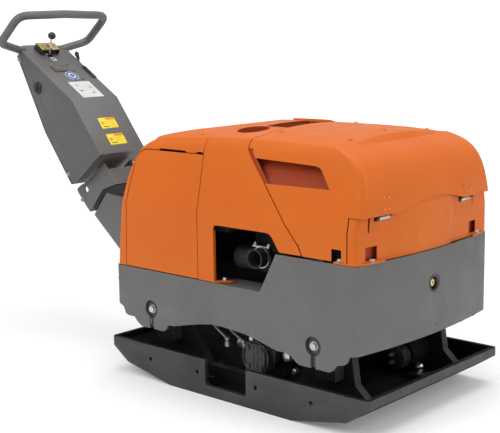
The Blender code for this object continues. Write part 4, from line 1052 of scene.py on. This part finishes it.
# ---------------------------------------------------------------- stage
def stage_and_light():
    section = ((0.05, 0), (2, 0), (6, 0), (7.5, 0.25), (8.6, 1.0), (9.2, 2.2), (9.4, 4.0), (9.4, 7.0))
    mesh = bmesh.new()
    rows = [[mesh.verts.new((radius * cosine, radius * sine, height)) for cosine, sine in circle(64)]
            for radius, height in section]
    mesh.faces.new(rows[0])
    for low, high in zip(rows, rows[1:]):
        for i in range(64):
            mesh.faces.new((low[i], low[(i + 1) % 64], high[(i + 1) % 64], high[i]))
    data = bpy.data.meshes.new("studio_floor")
    mesh.to_mesh(data)
    mesh.free()
    data.shade_smooth()
    floor = bpy.data.objects.new("studio_floor", data)
    bpy.context.scene.collection.objects.link(floor)
    made, tree, shader = tree_of("studio_white")
    shader.inputs["Base Color"].default_value = (0.93, 0.93, 0.93, 1)
    shader.inputs["Roughness"].default_value = 0.9
    geometry = node(tree, "ShaderNodeNewGeometry")
    reach = node(tree, "ShaderNodeVectorMath", operation="LENGTH")
    glow = node(tree, "ShaderNodeMapRange")
    for slot, value in (("From Min", 1.5), ("From Max", 7.0), ("To Min", 0.14), ("To Max", 0.55)):
        glow.inputs[slot].default_value = value
    tree.links.new(geometry.outputs["Position"], reach.inputs[0])
    tree.links.new(reach.outputs["Value"], glow.inputs["Value"])
    seen = node(tree, "ShaderNodeLightPath")
    strength = node(tree, "ShaderNodeMath", operation="MULTIPLY")
    tree.links.new(glow.outputs["Result"], strength.inputs[0])
    tree.links.new(seen.outputs["Is Camera Ray"], strength.inputs[1])
    tree.links.new(strength.outputs["Value"], shader.inputs["Emission Strength"])
    shader.inputs["Emission Color"].default_value = (1, 1, 1, 1)
    data.materials.append(made)
    lamp("key", (-0.6, -3.4, 3.4), (0.0, 0.0, 0.4), 2.6, 66)
    lamp("fill", (3.4, 1.0, 2.3), (0.1, 0.0, 0.4), 2.0, 30)
    lamp("top", (0.2, 0.4, 4.2), (0.0, 0.0, 0.5), 3.2, 70)
    world = bpy.data.worlds.new("studio_sky")
    world.use_nodes = True
    world.node_tree.nodes["Background"].inputs["Color"].default_value = (1, 1, 1, 1)
    world.node_tree.nodes["Background"].inputs["Strength"].default_value = 0.62
    bpy.context.scene.world = world
    bpy.context.scene.view_settings.view_transform = "Standard"


def lamp(name, place, target, size, power):
    data = bpy.data.lights.new(name, "AREA")
    data.size = size
    data.energy = power
    made = bpy.data.objects.new(name, data)
    made.location = place
    made.rotation_euler = (Vector(target) - Vector(place)).to_track_quat("-Z", "Y").to_euler()
    bpy.context.scene.collection.objects.link(made)


def camera():
    azimuth, pitch, roll = math.radians(42.1307), math.radians(9.8368), math.radians(-0.8141)
    level = math.cos(pitch)
    forward = Vector((-math.sin(azimuth) * level, math.cos(azimuth) * level, -math.sin(pitch)))
    right = Vector((math.cos(azimuth), math.sin(azimuth), 0))
    up = right.cross(forward)
    across_view = math.cos(roll) * right + math.sin(roll) * up
    up_view = -math.sin(roll) * right + math.cos(roll) * up
    data = bpy.data.cameras.new("camera")
    data.lens = 80.07
    data.sensor_width = 36.0
    made = bpy.data.objects.new("camera", data)
    made.matrix_world = Matrix((
        (across_view.x, up_view.x, -forward.x, 2.1378), (across_view.y, up_view.y, -forward.y, -2.5852),
        (across_view.z, up_view.z, -forward.z, 1.0878), (0, 0, 0, 1)))
    bpy.context.scene.collection.objects.link(made)
    bpy.context.scene.camera = made


# ---------------------------------------------------------------- CAD nodes shown with rounded edges
CORNERS = {"rear_right": (-0.318, -1), "front_right": (0.318, -1), "rear_left": (-0.318, 1),
           "front_left": (0.318, 1)}
REFINED = {
    "grey": (("main_frame", 0.0014), ("handle_bracket", 0.0012), ("swing_arm", 0.0015),
             ("arm_channel", 0.0012), ("console_rear_cover", 0.0008)),
    "console": (("console_box", 0.0014),),
    "shaded_iron": (("exciter_housing", 0.0020), ("exciter_cover_right", 0.0012), ("exciter_cover_left", 0.0012)),
    "soot": (("exhaust_pipe", 0.0006),),
    "plate": (("base_plate", 0.0022),),
    "cast": (("side_rib_right", 0.0022), ("side_rib_left", 0.0022), ("hydraulic_motor", 0.0010),
             ("motor_end_cover", 0.0010), ("hydraulic_pump", 0.0010), ("muffler", 0.0012)),
    "steel": (("drive_shaft", 0.0010), ("driven_shaft", 0.0010), ("drive_gear", 0.0006),
              ("driven_gear", 0.0006), ("oil_plug", 0.0008),
              *(("isolator_bolt_" + corner, 0.0005) for corner in CORNERS), ("handle_pin", 0.0010),
              ("exhaust_clamp", 0.0006), ("lifting_eye", 0.0020), ("hood_hinge_right", 0.0004),
              ("hood_hinge_left", 0.0004), ("direction_lever", 0.0003)),
    "gold": (("lever_bracket", 0.0006),),
    "brass": (("drain_plug", 0.0006),),
    "rubber": (*(("isolator_" + corner, 0.0010) for corner in CORNERS), ("rubber_damper", 0.0015),
               ("supply_hose", 0.0), ("return_hose", 0.0)),
    "plastic": (("air_filter", 0.0012), ("battery", 0.0020), ("fuel_tank", 0.0020), ("fuel_cap", 0.0012),
                ("control_valve", 0.0010), ("direction_knob", 0.0003), ("throttle_bracket", 0.0006),
                ("throttle_lever", 0.0003), ("button_bezel", 0.0005), ("push_button", 0.0005)),
    "tube": (("handle_loop", 0.0),),
    "alloy": (("engine_block", 0.0020), ("flywheel_fan", 0.0010)),
    "glass": (("display_window", 0.0005),),
}
SHOWN = {}
for look, entries in REFINED.items():
    for entry, width in entries:
        SHOWN[entry] = refined(entry, look, width)
# the tray's floor and the ribs' side faces take the near-black iron: painted shade
repaint(SHOWN["base_plate"], "shaded_iron", lambda face: abs(face.center.x) < 0.4900 and abs(face.center.y) < 0.3166
        and face.center.z > 0.012)
for side_name in ("right", "left"):
    repaint(SHOWN["side_rib_" + side_name], "shaded_iron", lambda face: abs(face.normal.y) > 0.8)
# the console's top faces take the lit grey, its sides the darker painted-shade grey
repaint(SHOWN["console_box"], "grey", lambda face: face.normal.z > 0.35)
outwards = facet(UPPER_DIR).col[2].to_3d()
repaint(SHOWN["lever_bracket"], "plastic", lambda face: face.normal.dot(outwards) < 0.8)

build_rear_cover()
build_hood()
build_doors()
build_front_panel()
build_cover_details()
build_base_details()
build_frame_details()
build_handle_details()
stage_and_light()
camera()
